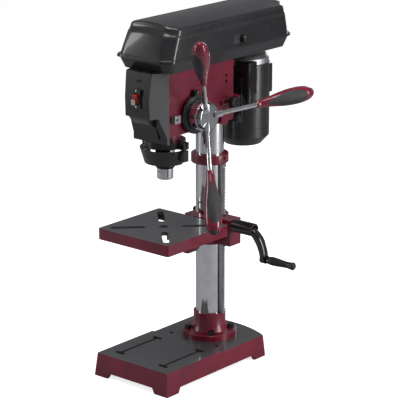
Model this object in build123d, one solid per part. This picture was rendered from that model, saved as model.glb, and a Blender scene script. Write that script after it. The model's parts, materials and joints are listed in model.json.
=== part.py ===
from build123d import *
import os
from math import atan2, cos, degrees, pi, radians, sin, tan

# Benchtop drill press. Millimetres, +Z up, the operator stands on the -Y side, feed levers on +X.
# The origin is the column's axis on the bench.

# ---- driving dimensions: stand ----
base_half_width = 118.0
base_front = -305.0
base_rear_corner = 75.0
base_rear_bulge = 30.0
base_height = 61.0
base_draft = 6.0
base_wall = 8.0
deck_thickness = 9.0
rear_deck_drop = 4.0
rear_deck_start = -94.0
foot_height = 14.0
foot_length = 52.0
arch_slope = 9.0
base_slot_x = 72.8
base_slot_front = -275.0
base_slot_rear = -120.0
base_slot_width = 9.0
base_slot_tee_width = 30.0
base_slot_tee_depth = 12.0
base_hole_x = 77.0
base_hole_y = -64.0
base_hole_r = 5.5
column_r = 36.5
column_wall = 4.0
column_top = 790.0
flange_r = 70.5
flange_thickness = 16.0
flange_neck_wall = 5.5
flange_neck_height = 66.0
flange_bolt_circle_r = 56.0
flange_bolt_r = 5.0
flange_bolt_count = 4
collar_bottom = 527.0
collar_height = 24.0
collar_wall = 12.0

# ---- driving dimensions: head ----
spindle_y = -173.5
head_half_width = 58.0
head_front = -222.0
head_step = -52.0
head_rear = 32.0
head_bottom = 641.0
head_top = 806.0
head_wall = 8.0
quill_boss_r = 38.0
quill_boss_bottom = 600.0
socket_wall = 13.5
nose_front = -277.0
nose_half_width = 36.0
nose_bottom = 622.0
nose_wall = 3.0
head_screw_y = 0.0
pulley_bearing_r = 23.5
lock_screw_r = 5.0
lock_y = 6.0
idler_pin_r = 8.0
switch_z = 741.0
chin_half_width = 30.0
chin_top = 692.0
chin_back = -251.0
chin_foot = -229.0

# ---- driving dimensions: quill, spindle and chuck ----
quill_r = 27.0
quill_bottom = 606.0
quill_length = 154.0
quill_travel = 80.0
spindle_r = 10.0
spindle_top = 890.0
bearing_r = 20.0
bearing_width = 12.0
chuck_tip = 518.0
chuck_body_r = 20.5
chuck_sleeve_r = 26.5
chuck_sleeve_bottom = 546.0
chuck_sleeve_height = 34.0
chuck_top = 600.0
jaw_r = 4.0
jaw_tilt = 8.0
jaw_length = 40.0
jaw_travel = 14.0
sleeve_r = 13.5
guard_ring_height = 20.0
guard_pivot_x = -66.0

# ---- driving dimensions: feed ----
gear_module = 2.0
pinion_teeth = 16
feed_z = 686.0
hub_r = 38.0
hub_root = 74.0
hub_end = 112.0
lever_origin_x = 100.0
lever_tilt = 23.2
lever_first_angle = 126.5
lever_rod_r = 6.2
lever_rod_start = 24.0
lever_grip_start = 141.0
lever_grip_end = 305.0
lever_grip_r = 22.0
dial_r = 49.0
dial_width = 10.0
dial_start = 62.0
stop_screw_r = 3.0
spring_shaft_r = 8.0

# ---- driving dimensions: belt drive ----
pan_bottom = 806.0
pan_top = 836.0
lid_edge_height = 911.0
lid_crown = 13.0
lid_half_width = 87.0
lid_front = -262.0
lid_rear = 230.0
lid_lean_side = 6.0
lid_lean_front = 31.0
lid_lean_rear = 9.0
lid_corner = 26.0
cover_wall = 3.0
pulley_radii = (56.0, 46.0, 36.0, 26.0)
pulley_bottom = 824.0
pulley_step = 17.0
belt_width = 10.0
belt_depth = 8.0
hinge_places = (-150.0, 130.0)
hinge_x = -98.0
hinge_r = 4.5
hinge_pin_r = 2.0
latch_y = 26.0
latch_z = 855.0
idler_y = -24.0

# ---- driving dimensions: motor ----
motor_y = 134.0
motor_r = 69.0
motor_bottom = 553.0
motor_top = 790.0
motor_chamfer = 22.0
bell_height = 22.0
fan_cover_height = 46.0
slide_rod_r = 8.0
slide_rod_offset = 9.5
slide_rod_z = 692.0
slide_travel = 8.0
rod_boss_length = 17.0
motor_plate_thickness = 6.0
box_bottom = 698.0
gland_x = 61.0
gland_y = 80.0
shaft_r = 8.0

# ---- driving dimensions: table ----
table_half = 117.0
table_front = -298.0
table_rear = -66.0
table_top = 393.0
table_plate = 10.0
table_skirt = 29.0
table_wall = 7.0
table_slot_width = 17.0
table_slot_inner = 45.0
table_slot_outer = 135.0
table_hole_r = 12.5
tilt_z = 335.0
arm_r = 26.0
tilt_disc_r = 34.0
tilt_bolt_r = 7.0
bracket_bottom = 316.0
bracket_top = 388.0
bracket_wall = 12.5
rack_half_width = 7.0
rack_gap = 1.5
rack_thickness = 11.0
rack_tongue = 3.5
rack_tongue_height = 4.0
lift_pinion_teeth = 12
lift_wheel_teeth = 16
worm_r = 8.0
crank_y = -15.0
crank_z = 376.0
crank_radius = 70.0
crank_hub_r = 17.0
crank_hub_start = 96.0
crank_hub_end = 162.0
crank_grip_start = 202.0
crank_grip_end = 290.0
crank_shaft_r = 9.0
clamp_bolt_r = 5.0
clamp_x = -60.0
clamp_z = 352.0

# ---- clearances ----
gap = 0.3
running = 0.05
eps = 0.02

# ---- sizes that follow from the ones above ----
flange_neck_r = column_r + flange_neck_wall
collar_r = column_r + collar_wall
socket_r = column_r + socket_wall
bracket_r = column_r + bracket_wall
rack_back = column_r + rack_gap
slide_rod_x = column_r + slide_rod_offset
head_rear_half_width = slide_rod_x + slide_rod_r
rear_deck = base_height - rear_deck_drop
flange_top = rear_deck + flange_thickness
neck_top = rear_deck + flange_neck_height
quill_top = quill_bottom + quill_length
pinion_pitch_r = gear_module * pinion_teeth / 2
pinion_r = pinion_pitch_r + gear_module
feed_y = spindle_y + quill_r - gear_module + pinion_pitch_r
lift_pitch_r = gear_module * lift_pinion_teeth / 2
lift_x = rack_back + rack_thickness - gear_module + lift_pitch_r
wheel_pitch_r = gear_module * lift_wheel_teeth / 2
lift_z = crank_z - worm_r - wheel_pitch_r
table_y = (table_front + table_rear) / 2
lever_hub = (lever_origin_x, feed_y, feed_z)
pitch = pi * gear_module
tooth_half = 0.17 * pitch
flank = tan(radians(20))
addendum = gear_module
dedendum = 1.2 * gear_module
tongue_r = ((rack_back + rack_tongue) ** 2 + rack_half_width ** 2) ** 0.5 + gap
switch_face = nose_front - 2.5
pulley_top = pulley_bottom + pulley_step * len(pulley_radii)
hinge_z = pan_top + 4.6
motor_plate_y = head_rear + rod_boss_length + slide_travel + gap
guard_ring_bottom = quill_boss_bottom + 3
tilt_face = table_rear - table_wall - 10


# ---------------------------------------------------------------- plain shapes
def block(x0, x1, y0, y1, z0, z1):
    """A box between two corners."""
    return Pos((x0 + x1) / 2, (y0 + y1) / 2, (z0 + z1) / 2) * Box(x1 - x0, y1 - y0, z1 - z0)


def rod_z(r, z0, z1, x=0.0, y=0.0):
    """An upright cylinder."""
    return Pos(x, y, (z0 + z1) / 2) * Cylinder(r, z1 - z0)


def rod_x(r, x0, x1, y, z):
    """A cylinder along X."""
    return Pos((x0 + x1) / 2, y, z) * Rot(0, 90, 0) * Cylinder(r, x1 - x0)


def rod_y(r, y0, y1, x, z):
    """A cylinder along Y."""
    return Pos(x, (y0 + y1) / 2, z) * Rot(90, 0, 0) * Cylinder(r, y1 - y0)


def cone_z(r0, r1, z0, z1, x=0.0, y=0.0):
    """An upright cone, r0 at its bottom and r1 at its top."""
    return Pos(x, y, (z0 + z1) / 2) * Cone(r0, r1, z1 - z0)


def polygon(points):
    """A closed face through flat points."""
    return make_face(Polyline(*points, close=True))


def prism_x(points, x0, x1):
    """Points (y, z) extruded along X."""
    return extrude(Plane.YZ.offset(x0) * polygon(points), amount=x1 - x0)


def prism_y(points, y0, y1):
    """Points (x, z) extruded along Y."""
    face = Plane(origin=(0, y0, 0), x_dir=(1, 0, 0), z_dir=(0, -1, 0)) * polygon(points)
    return extrude(face, amount=-(y1 - y0))


def prism_z(points, z0, z1):
    """Points (x, y) extruded upwards."""
    return extrude(Plane.XY.offset(z0) * polygon(points), amount=z1 - z0)


def along(direction, place):
    """A location at a place, with its own +Z along a direction."""
    return Plane(origin=place, z_dir=direction).location


def hexagon(flats, height):
    """An upright hexagonal prism, centred."""
    return extrude(RegularPolygon(flats / 2, 6, major_radius=False), amount=height / 2, both=True)


# ---------------------------------------------------------------- teeth


def gear(teeth, width, outer=None):
    """A spur gear about Z with straight-sided teeth, one of them centred on +X."""
    r = gear_module * teeth / 2
    tip_r = r + addendum - 2 * eps
    steps = ((r - dedendum, tooth_half + dedendum * flank), (tip_r, tooth_half - addendum * flank * 0.8))
    points = []
    for i in range(teeth):
        a = 2 * pi * i / teeth
        for radius, half in (steps[0], steps[1]):
            points.append((radius * cos(a - half / radius), radius * sin(a - half / radius)))
        for radius, half in (steps[1], steps[0]):
            points.append((radius * cos(a + half / radius), radius * sin(a + half / radius)))
    return extrude(polygon(points), amount=width / 2, both=True)


def rack_edge(low, high, space_at):
    """Heights and depths along a rack's toothed edge, a space centred at space_at; depth 0 is the tip."""
    first = int((low + pitch - space_at) // pitch) + 1
    last = int((high - pitch - space_at) // pitch)
    at_tip = pitch / 2 - tooth_half + addendum * flank
    at_root = pitch / 2 - tooth_half - dedendum * flank
    edge = []
    for i in range(first, last + 1):
        middle = space_at + i * pitch
        edge.append((middle - at_tip, 0.0))
        edge.append((middle - at_root, addendum + dedendum))
        edge.append((middle + at_root, addendum + dedendum))
        edge.append((middle + at_tip, 0.0))
    return edge


# ---------------------------------------------------------------- stand
def base_outline(grow):
    """The base's plan: straight sides and a bowed rear edge."""
    w = base_half_width + grow
    sides = Polyline((-w, base_rear_corner + grow), (-w, base_front - grow), (w, base_front - grow),
                     (w, base_rear_corner + grow))
    rear = ThreePointArc((w, base_rear_corner + grow), (0, base_rear_corner + base_rear_bulge + grow),
                         (-w, base_rear_corner + grow))
    return make_face(sides + rear)


def arch(start, end):
    """The low gap between two feet, seen from the side, with sloped ends."""
    return [(start - arch_slope, -1), (start, foot_height), (end, foot_height), (end + arch_slope, -1)]


def make_base():
    draft = degrees(atan2(base_draft, base_height))
    body = extrude(base_outline(base_draft), amount=base_height, taper=draft)
    body -= block(-400, 400, rear_deck_start, 400, rear_deck, base_height + 10)
    inside = extrude(base_outline(base_draft - base_wall), amount=rear_deck - deck_thickness, taper=draft)
    body -= inside
    x = base_half_width + base_draft - foot_length
    front = base_front - base_draft + foot_length
    rear = base_rear_corner + base_draft - foot_length
    body -= prism_y(arch(-x, x), -400, 200)
    body -= prism_x(arch(front, rear), -200, 200)
    for side in (-1, 1):
        sx = side * base_slot_x
        half = base_slot_width / 2
        body -= block(sx - half, sx + half, base_slot_front, base_slot_rear, 0, 80)
        half = base_slot_tee_width / 2
        for y0 in (base_slot_front, base_slot_rear - base_slot_tee_depth):
            body -= block(sx - half, sx + half, y0, y0 + base_slot_tee_depth, 0, 80)
        body -= rod_z(base_hole_r, 0, 80, side * base_hole_x, base_hole_y)
    ceiling = rear_deck - deck_thickness
    boss = rod_z(flange_bolt_circle_r + 16, ceiling - 9, ceiling + eps)
    body += boss & inside
    body -= rod_z(column_r + gap, 0, 80)
    for x, y in flange_bolt_places():
        body -= rod_z(flange_bolt_r + gap, 0, 80, x, y)
    return body


def flange_bolt_places():
    step = 360 / flange_bolt_count
    angles = [radians(step / 2 + step * i) for i in range(flange_bolt_count)]
    return [(flange_bolt_circle_r * cos(a), flange_bolt_circle_r * sin(a)) for a in angles]


def make_column_flange():
    body = rod_z(flange_r, rear_deck, flange_top)
    body = chamfer(body.edges().group_by(Axis.Z)[-1], 2.5)
    body += cone_z(flange_neck_r + 6, flange_neck_r, flange_top, flange_top + 12)
    body += rod_z(flange_neck_r, rear_deck, neck_top)
    body -= rod_z(column_r, rear_deck - 1, neck_top + 1)
    for x, y in flange_bolt_places():
        body -= rod_z(flange_bolt_r + gap, rear_deck - 1, flange_top + 1, x, y)
        body -= rod_z(flange_bolt_r * 2 + 1, flange_top - 1, flange_top + 40, x, y)
    return body


def make_flange_bolts():
    bolts = []
    for x, y in flange_bolt_places():
        head = Pos(x, y, flange_top + 5) * hexagon(flange_bolt_r * 3.2, 8)
        head += rod_z(flange_bolt_r * 2, flange_top - 1, flange_top + 1, x, y)
        bolts.append(head + rod_z(flange_bolt_r, rear_deck - deck_thickness - 14, flange_top, x, y))
    return Compound(bolts)


def make_column():
    body = rod_z(column_r, rear_deck - deck_thickness, column_top)
    return body - rod_z(column_r - column_wall, 0, column_top + 1)


def make_rack_collar():
    z1 = collar_bottom + collar_height
    body = rod_z(collar_r, collar_bottom, z1)
    body = fillet(body.edges().filter_by(GeomType.CIRCLE), 2.0)
    body -= rod_z(column_r, collar_bottom - 1, z1 + 1)
    # The counterbore traps the rack's tongue and lets it swing round the column.
    body -= rod_z(tongue_r, collar_bottom - 1, collar_bottom + rack_tongue_height + 1)
    return body - rod_x(4.0, column_r - 5, collar_r + 5, 0, collar_bottom + collar_height / 2 + 3)


def make_set_screws():
    """Socket set screws: one in the rack collar, two in the head's right side."""
    z = collar_bottom + collar_height / 2 + 3
    screws = [rod_x(4.0, column_r, collar_r - 2, 0, z) - rod_x(2.0, collar_r - 6, collar_r, 0, z)]
    for z in head_screw_heights():
        one = rod_x(4.0, column_r, head_rear_half_width - 4, head_screw_y, z)
        screws.append(one - rod_x(2.0, head_rear_half_width - 8, head_rear_half_width, head_screw_y, z))
    return Compound(screws)


# ---------------------------------------------------------------- head casting


def head_screw_heights():
    return (745.0, 760.0)


def make_head_casting():
    low, high = head_bottom, head_top
    body = block(-head_half_width, head_half_width, head_front, head_step, low, high)
    body = fillet(body.edges().filter_by(Axis.Z).group_by(Axis.Y)[-1], 3.0)
    rear = block(-head_rear_half_width, head_rear_half_width, head_step - 8, head_rear, low, high)
    body += fillet(rear.edges().filter_by(Axis.Z).group_by(Axis.Y)[-1], 5.0)
    floor = low + head_wall
    inner = head_half_width - head_wall
    body -= block(-inner, inner, head_front + head_wall, head_step + 1, floor, high + 1)
    inner = head_rear_half_width - head_wall
    body -= block(-inner, inner, head_step, head_rear - head_wall, floor, high + 1)
    body += rod_z(quill_boss_r, quill_boss_bottom, high, 0, spindle_y)
    body += rod_z(socket_r, low, column_top + 6) & block(-60, 60, -60, head_rear, 0, 900)
    body += rod_x(pinion_r + 8, -head_half_width, head_half_width, feed_y, feed_z)
    for side in (-1, 1):
        x = side * slide_rod_x
        body += rod_y(slide_rod_r + 5, head_step + 30, head_rear + rod_boss_length, x, slide_rod_z)
    body += rod_x(14, column_r + 6, head_rear_half_width + 8, -14, head_bottom + 8)
    # bores
    body -= rod_z(column_r, low - 1, column_top)
    body -= rod_z(quill_r + running, quill_boss_bottom - 1, quill_top + 6, 0, spindle_y)
    body -= rod_z(pulley_bearing_r, quill_top + 6 - eps, high + 1, 0, spindle_y)
    body -= rod_x(pinion_r + running, -80, 80, feed_y, feed_z)
    for side in (-1, 1):
        x = side * slide_rod_x
        # The rods end in front of the column socket, and the motor's weight hangs behind it.
        body -= rod_y(slide_rod_r + running, -12, 80, x, slide_rod_z)
    body -= rod_x(lock_screw_r + running, slide_rod_x + 2, 90, lock_y, slide_rod_z)
    for z in head_screw_heights():
        body -= rod_x(4.0, column_r, 90, head_screw_y, z)
    body -= rod_z(idler_pin_r, high - 60, high + 1, 0, idler_y)
    return body


def nose_profile(inset):
    """The front cover's side view (y, z), from the top edge down its bowed face to the chin."""
    f = nose_front + inset
    face = [(f + 9, head_top + 1), (f + 6, 787), (f, 742), (f + 2, 694), (f + 13, 679), (f + 35, 666)]
    foot = [(head_front - 5 + inset * 0.8, nose_bottom - 1), (head_front, nose_bottom - 1)]
    return [(head_front, head_top + 1)] + face + foot


def nose_body(inset):
    """The cover's outer or inner form: a tapered plan under the bowed side view."""
    w0 = nose_half_width - inset
    w1 = head_half_width - inset
    z0 = nose_bottom + inset
    z1 = head_top - inset
    y0 = nose_front - 10
    plan = prism_z([(-w0, y0), (w0, y0), (w1, head_front), (-w1, head_front)], z0, z1)
    return plan & prism_x(nose_profile(inset), -90, 90)


def chin(grow):
    """The two lower front corners that are stepped back, grown by a wall for the inside."""
    front = nose_front - 20
    points = [(front, chin_top + grow), (chin_back - 1 + grow, chin_top + grow)]
    points += [(chin_foot + grow, head_bottom), (chin_foot + grow, nose_bottom - 5)]
    points += [(front, nose_bottom - 5)]
    right = prism_x(points, chin_half_width - grow, head_half_width + 30)
    return right + mirror(right, Plane.YZ)


def nose_shell():
    """The cover's wall with the switch's window in its face."""
    window = block(-11, 11, nose_front - 10, nose_front + 8, switch_z - 17, switch_z + 17)
    return nose_body(0) - chin(0) - (nose_body(nose_wall) - chin(nose_wall)) - window


def make_front_cover():
    return nose_shell() - rod_z(quill_boss_r + gap, nose_bottom - 5, head_bottom + 200, 0, spindle_y)


def make_switch_body():
    """The switch's bezel in front of the panel and its contact box behind it."""
    body = block(-14, 14, switch_face, nose_front, switch_z - 24, switch_z + 24)
    body += block(-10.5, 10.5, switch_face, nose_front + 26, switch_z - 16, switch_z + 16)
    body -= block(-8, 8, switch_face - 1, switch_face + 10, switch_z - 13, switch_z + 13)
    return body - nose_shell()


def make_switch_paddle():
    """A rocking red paddle with a safety key in its lower half."""
    back = switch_face + 6.5
    face = [(back, switch_z + 11), (switch_face - 8, switch_z + 11), (switch_face - 4, switch_z),
            (switch_face - 3, switch_z - 11), (back, switch_z - 11)]
    return prism_x(face, -7.5, 7.5)


def make_depth_pointer():
    """The bright block on the head's side that carries the depth scale's zero mark."""
    y0 = feed_y - dial_r - 36
    body = block(head_half_width, head_half_width + 14, y0, y0 + 22, feed_z - 10, feed_z + 10)
    body = chamfer(body.edges().filter_by(Axis.X), 1.5)
    return body - rod_x(3, head_half_width, head_half_width + 20, y0 + 9, feed_z)


def make_spring_housing():
    """The cup on the left side that holds the quill's coil spring."""
    x1 = -head_half_width
    body = rod_x(34, x1 - 24, x1, feed_y, feed_z)
    body = fillet(body.edges().group_by(Axis.X)[0], 3.0)
    body -= rod_x(30, x1 - 21, x1 + 1, feed_y, feed_z)
    return body - rod_x(spring_shaft_r + gap, x1 - 40, x1, feed_y, feed_z)


def make_return_spring():
    """Flat spring coils as closed rings, tied by the hooked inner end's bar."""
    x0 = -head_half_width - 17
    x1 = -head_half_width - 5
    rings = None
    for i in range(4):
        r = 13.0 + 4.5 * i
        ring = rod_x(r + 0.6, x0, x1, feed_y, feed_z) - rod_x(r - 0.6, x0 - 1, x1 + 1, feed_y, feed_z)
        rings = ring if rings is None else rings + ring
    bar = block(x0, x1, feed_y + 12.5, feed_y + 27.0, feed_z - 0.6, feed_z + 0.6)
    return rings + bar


def make_spring_nuts():
    """Two jam nuts on the pinion shaft's left end."""
    x1 = -head_half_width - 24
    nuts = []
    for i in range(2):
        x = x1 - 4.5 - 8 * i
        nut = Pos(x, feed_y, feed_z) * Rot(0, 90, 0) * hexagon(24, 7)
        nuts.append(nut - rod_x(spring_shaft_r, x - 9, x + 9, feed_y, feed_z))
    return Compound(nuts)


# ---------------------------------------------------------------- quill and spindle
def make_quill():
    body = rod_z(quill_r, quill_bottom, quill_top, 0, spindle_y)
    body -= rod_z(spindle_r + 2, quill_bottom - 1, quill_top + 1, 0, spindle_y)
    body -= rod_z(bearing_r, quill_bottom - 1, quill_bottom + bearing_width, 0, spindle_y)
    body -= rod_z(bearing_r, quill_top - bearing_width, quill_top + 1, 0, spindle_y)
    edge = rack_edge(quill_bottom + 16, quill_top + 2 * pitch, feed_z)
    back = spindle_y + quill_r
    points = [(back + 5, edge[0][0])]
    points += [(back - depth, z) for z, depth in edge]
    points += [(back + 5, edge[-1][0])]
    return body - prism_x(points, -20, 20)


def bearing(r_out, r_in, z0, width):
    """A sealed ball bearing as one ring with a groove in each face."""
    body = rod_z(r_out, z0, z0 + width, 0, spindle_y) - rod_z(r_in, z0 - 1, z0 + width + 1, 0, spindle_y)
    outer = r_out - 3.0
    inner = r_in + 3.0
    for z in (z0, z0 + width - 0.8):
        body -= rod_z(outer, z, z + 0.8, 0, spindle_y) - rod_z(inner, z, z + 0.8, 0, spindle_y)
    return body


def make_quill_bearings():
    low = bearing(bearing_r, spindle_r + running, quill_bottom, bearing_width)
    high = bearing(bearing_r, spindle_r + running, quill_top - bearing_width, bearing_width)
    return Compound([low, high])


def make_pulley_bearings():
    first = bearing(pulley_bearing_r, sleeve_r + running, quill_top + 10, bearing_width)
    second = bearing(pulley_bearing_r, sleeve_r + running, head_top - bearing_width - 2, bearing_width)
    return Compound([first, second])


def make_spindle():
    body = rod_z(spindle_r, chuck_top, spindle_top, 0, spindle_y)
    body += rod_z(spindle_r + 5, chuck_top, quill_bottom - gap, 0, spindle_y)
    body += rod_z(8.5, chuck_top - 4, chuck_top + 1, 0, spindle_y)
    body += cone_z(7.5, 8.5, chuck_top - 26, chuck_top - 4, 0, spindle_y)
    for i in range(6):
        a = radians(60 * i)
        x, y = (spindle_r + 0.2) * cos(a), spindle_y + (spindle_r + 0.2) * sin(a)
        body -= rod_z(1.6, quill_top + 8, spindle_top + 1, x, y)
    return body


def jaw_axis(i):
    """The direction a jaw slides when the chuck closes, inwards and down, and a point on its line."""
    turn = radians(90 + 120 * i)
    lean = radians(jaw_tilt)
    direction = (-sin(lean) * cos(turn), -sin(lean) * sin(turn), -cos(lean))
    reach = jaw_r + 1.4 + jaw_travel * sin(lean)
    place = (reach * cos(turn), spindle_y + reach * sin(turn), chuck_tip + 1.0)
    return direction, place


def make_jaw(i):
    direction, place = jaw_axis(i)
    back = tuple(-c for c in direction)
    body = along(back, place) * (Pos(0, 0, jaw_length / 2) * Cylinder(jaw_r, jaw_length))
    body &= rod_z(60, chuck_tip + 0.5, 700, 0, spindle_y)
    return body


def make_chuck_body():
    body = rod_z(chuck_body_r, chuck_tip, chuck_sleeve_bottom, 0, spindle_y)
    body = fillet(body.edges().group_by(Axis.Z)[0], 3.5)
    top = chuck_sleeve_bottom + chuck_sleeve_height + 1
    body += rod_z(chuck_body_r - 2.5, chuck_sleeve_bottom, top, 0, spindle_y)
    body += rod_z(chuck_sleeve_r - 2, top, chuck_top - gap, 0, spindle_y)
    body -= cone_z(7.5, 8.5, chuck_top - 26, chuck_top - 4, 0, spindle_y)
    body -= rod_z(8.5, chuck_top - 4 - eps, chuck_top + 1, 0, spindle_y)
    for i in range(3):
        direction, place = jaw_axis(i)
        back = tuple(-c for c in direction)
        bore = Pos(0, 0, (jaw_length + 4 - 20) / 2) * Cylinder(jaw_r + 0.15, jaw_length + 4 + 20)
        body -= along(back, place) * bore
        turn = radians(30 + 120 * i)
        key = (chuck_body_r * cos(turn), spindle_y + chuck_body_r * sin(turn), chuck_sleeve_bottom - 7.0)
        body -= along((cos(turn), sin(turn), 0), key) * Cylinder(3.0, 12)
    # a loose drill hole up the middle, between the jaws
    body -= rod_z(7.0, chuck_tip - 1, chuck_top - 30, 0, spindle_y)
    return body


def make_chuck_sleeve():
    z0 = chuck_sleeve_bottom + gap
    z1 = chuck_sleeve_bottom + chuck_sleeve_height
    body = rod_z(chuck_sleeve_r, z0 + 6, z1, 0, spindle_y)
    body += cone_z(chuck_sleeve_r - 4.5, chuck_sleeve_r, z0, z0 + 6, 0, spindle_y)
    return body - rod_z(chuck_body_r - 2.5 + gap, z0 - 1, z1 + 1, 0, spindle_y)


# ---------------------------------------------------------------- feed
def make_pinion_shaft():
    """The feed shaft: full journals each side and a pinion cut between them."""
    half = pinion_r + 6
    body = rod_x(pinion_r, half, hub_root, feed_y, feed_z)
    body += rod_x(pinion_r, -head_half_width + 1, -half, feed_y, feed_z)
    teeth = gear(pinion_teeth, 2 * half + 2 * eps)
    turned = Pos(0, feed_y, feed_z) * Rot(0, 90, 0) * Rot(0, 0, 270) * teeth
    body += turned
    body += rod_x(spring_shaft_r, -head_half_width - 44, -head_half_width + 1 + eps, feed_y, feed_z)
    body += rod_x(11.0, hub_root - eps, hub_end - 12, feed_y, feed_z)
    return body


def lever_direction(i):
    a = radians(lever_first_angle + 120 * i)
    t = radians(lever_tilt)
    return (sin(t), cos(t) * cos(a), cos(t) * sin(a))


def lever_point(i, distance):
    d = lever_direction(i)
    return tuple(c + distance * k for c, k in zip(lever_hub, d))


def make_feed_hub():
    body = rod_x(hub_r, hub_root, hub_root + 22, feed_y, feed_z)
    body += rod_x(hub_r - 3, hub_root + 22, hub_end, feed_y, feed_z)
    body = chamfer(body.edges().group_by(Axis.X)[-1], 2.0)
    body -= rod_x(11.0, hub_root - 1, hub_end - 12, feed_y, feed_z)
    for i in range(3):
        body += along(lever_direction(i), lever_point(i, 33)) * Cylinder(9.5, 18)
    for i in range(3):
        body -= along(lever_direction(i), lever_point(i, 35)) * Cylinder(lever_rod_r, 22)
    return body


def make_lever_rods():
    rods = []
    for i in range(3):
        middle = (lever_rod_start + lever_grip_start + 30) / 2
        length = lever_grip_start + 30 - lever_rod_start
        rods.append(along(lever_direction(i), lever_point(i, middle)) * Cylinder(lever_rod_r, length))
    return Compound(rods)


def lever_grip():
    """An egg-shaped handle turned about its rod, upright."""
    length = lever_grip_end - lever_grip_start
    r = lever_grip_r
    points = [(8.5, 0), (12.5, length * 0.2), (r, length * 0.64), (r * 0.8, length * 0.9), (0, length)]
    outline = Spline(*points, tangents=((0.1, 1), (-1, 0)))
    face = make_face(Plane.XZ * (outline + Polyline((0, length), (0, 0), (8.5, 0))))
    body = revolve(face, Axis.Z)
    return body - Pos(0, 0, 15) * Cylinder(lever_rod_r, 30.1)


def make_lever_grips():
    grip = lever_grip()
    places = [along(lever_direction(i), lever_point(i, lever_grip_start)) for i in range(3)]
    return Compound([place * grip for place in places])


def make_depth_ring():
    """The graduated stop ring on the feed shaft, between the head and the hub."""
    x0 = dial_start
    body = rod_x(dial_r, x0, x0 + dial_width, feed_y, feed_z)
    body = fillet(body.edges().filter_by(GeomType.CIRCLE), 1.5)
    body -= rod_x(pinion_r + running, x0 - 1, x0 + dial_width + 1, feed_y, feed_z)
    lug = block(x0, x0 + dial_width, feed_y - 9, feed_y + 9, feed_z + dial_r - 6, feed_z + dial_r + 3)
    body += lug
    middle = x0 + dial_width / 2
    return body - rod_z(stop_screw_r, feed_z + pinion_r + 4, feed_z + dial_r + 10, middle, feed_y)


def make_depth_lock_knob():
    """The small knob that locks the stop ring, on a thumb screw that points inwards."""
    x = dial_start + dial_width / 2
    z = feed_z + dial_r + 3
    knob = rod_z(8.5, z + 1, z + 9, x, feed_y)
    return knob + rod_z(stop_screw_r - running, feed_z + pinion_r + 6, z + 2, x, feed_y)


# ---------------------------------------------------------------- belt cover, pan and pulleys
def cover_form(inset, z0, z1, lean):
    """A rounded rectangle that leans inwards as it rises from the pan's rim to the lid's shoulder."""
    share = [(z - pan_top) / (lid_edge_height - pan_top) if lean else 0.0 for z in (z0, z1)]
    faces = []
    for z, s in zip((z0, z1), share):
        w = lid_half_width - inset - s * lid_lean_side
        y0 = lid_front + inset + s * lid_lean_front
        y1 = lid_rear - inset - s * lid_lean_rear
        shape = RectangleRounded(2 * w, y1 - y0, lid_corner - inset)
        faces.append(Pos(0, (y0 + y1) / 2, z) * shape)
    return loft(faces)


def crown(inset):
    """A wide cylinder along Y whose top is the lid's crowned roof."""
    half = lid_half_width - lid_lean_side
    r = (half ** 2 + lid_crown ** 2) / (2 * lid_crown)
    return rod_y(r - inset, -500, 500, 0, lid_edge_height + lid_crown - r)


def make_belt_cover():
    top = lid_edge_height + lid_crown + 4
    z0 = pan_top + 2 + gap
    body = cover_form(0, z0, top, True) & crown(0)
    body -= cover_form(cover_wall, z0 - 1, top + 1, True) & crown(cover_wall)
    lip = cover_form(-4, z0, z0 + 5, False) - cover_form(0, z0 - 1, z0 + 6, False)
    body += lip & rod_z(900, z0, z0 + 5)
    for y in hinge_places:
        body += rod_y(hinge_r, y + 10 + gap, y + 26, hinge_x, hinge_z)
        body += block(hinge_x, -lid_half_width + 2, y + 10 + gap, y + 26, hinge_z - 2, hinge_z + 2.4)
        body -= rod_y(hinge_pin_r + running, y - 30, y + 30, hinge_x, hinge_z)
    return body - rod_x(4.0, lid_half_width - 20, lid_half_width + 20, latch_y, latch_z)


def make_cover_knob():
    """The round lift knob on the lid's right side."""
    x = lid_half_width - lid_lean_side * (latch_z - pan_top) / (lid_edge_height - pan_top)
    body = rod_x(10.0, x + 2.4, x + 14, latch_y, latch_z)
    body = fillet(body.edges().group_by(Axis.X)[-1], 2.5)
    return body + rod_x(4.0, x - 8, x + 3, latch_y, latch_z)


def make_belt_pan():
    top = pan_top + 2
    under = lid_half_width - 8
    outer = loft([Pos(0, (lid_front + lid_rear) / 2, pan_bottom) * RectangleRounded(
        2 * under, lid_rear - lid_front - 30, lid_corner - 2),
        Pos(0, (lid_front + lid_rear) / 2, top) * RectangleRounded(
        2 * lid_half_width, lid_rear - lid_front, lid_corner)])
    inner = loft([Pos(0, (lid_front + lid_rear) / 2, pan_bottom + cover_wall) * RectangleRounded(
        2 * under - 2 * cover_wall, lid_rear - lid_front - 30 - 2 * cover_wall, lid_corner - 4),
        Pos(0, (lid_front + lid_rear) / 2, top + 0.5) * RectangleRounded(
        2 * lid_half_width - 2 * cover_wall, lid_rear - lid_front - 2 * cover_wall, lid_corner - 3)])
    body = outer - inner
    body += cover_form(-4, top - 4, top, False) - cover_form(2, top - 5, top + 1, False)
    for y in hinge_places:
        body += rod_y(hinge_r, y - 10, y + 10, hinge_x, hinge_z)
        body += block(hinge_x - 3, -lid_half_width - 2, y - 10, y + 10, top - 4, top)
        body += rod_y(hinge_pin_r, y, y + 25.5, hinge_x, hinge_z)
    body -= rod_z(pulley_bearing_r + 5, pan_bottom - 1, pan_bottom + 9, 0, spindle_y)
    body -= rod_z(idler_pin_r + 2, pan_bottom - 1, pan_bottom + 9, 0, idler_y)
    slot = block(-22, 22, motor_y - slide_travel, motor_y, pan_bottom - 1, pan_bottom + 9)
    for y in (motor_y - slide_travel, motor_y):
        slot += rod_z(22, pan_bottom - 1, pan_bottom + 9, 0, y)
    return body - slot


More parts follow.
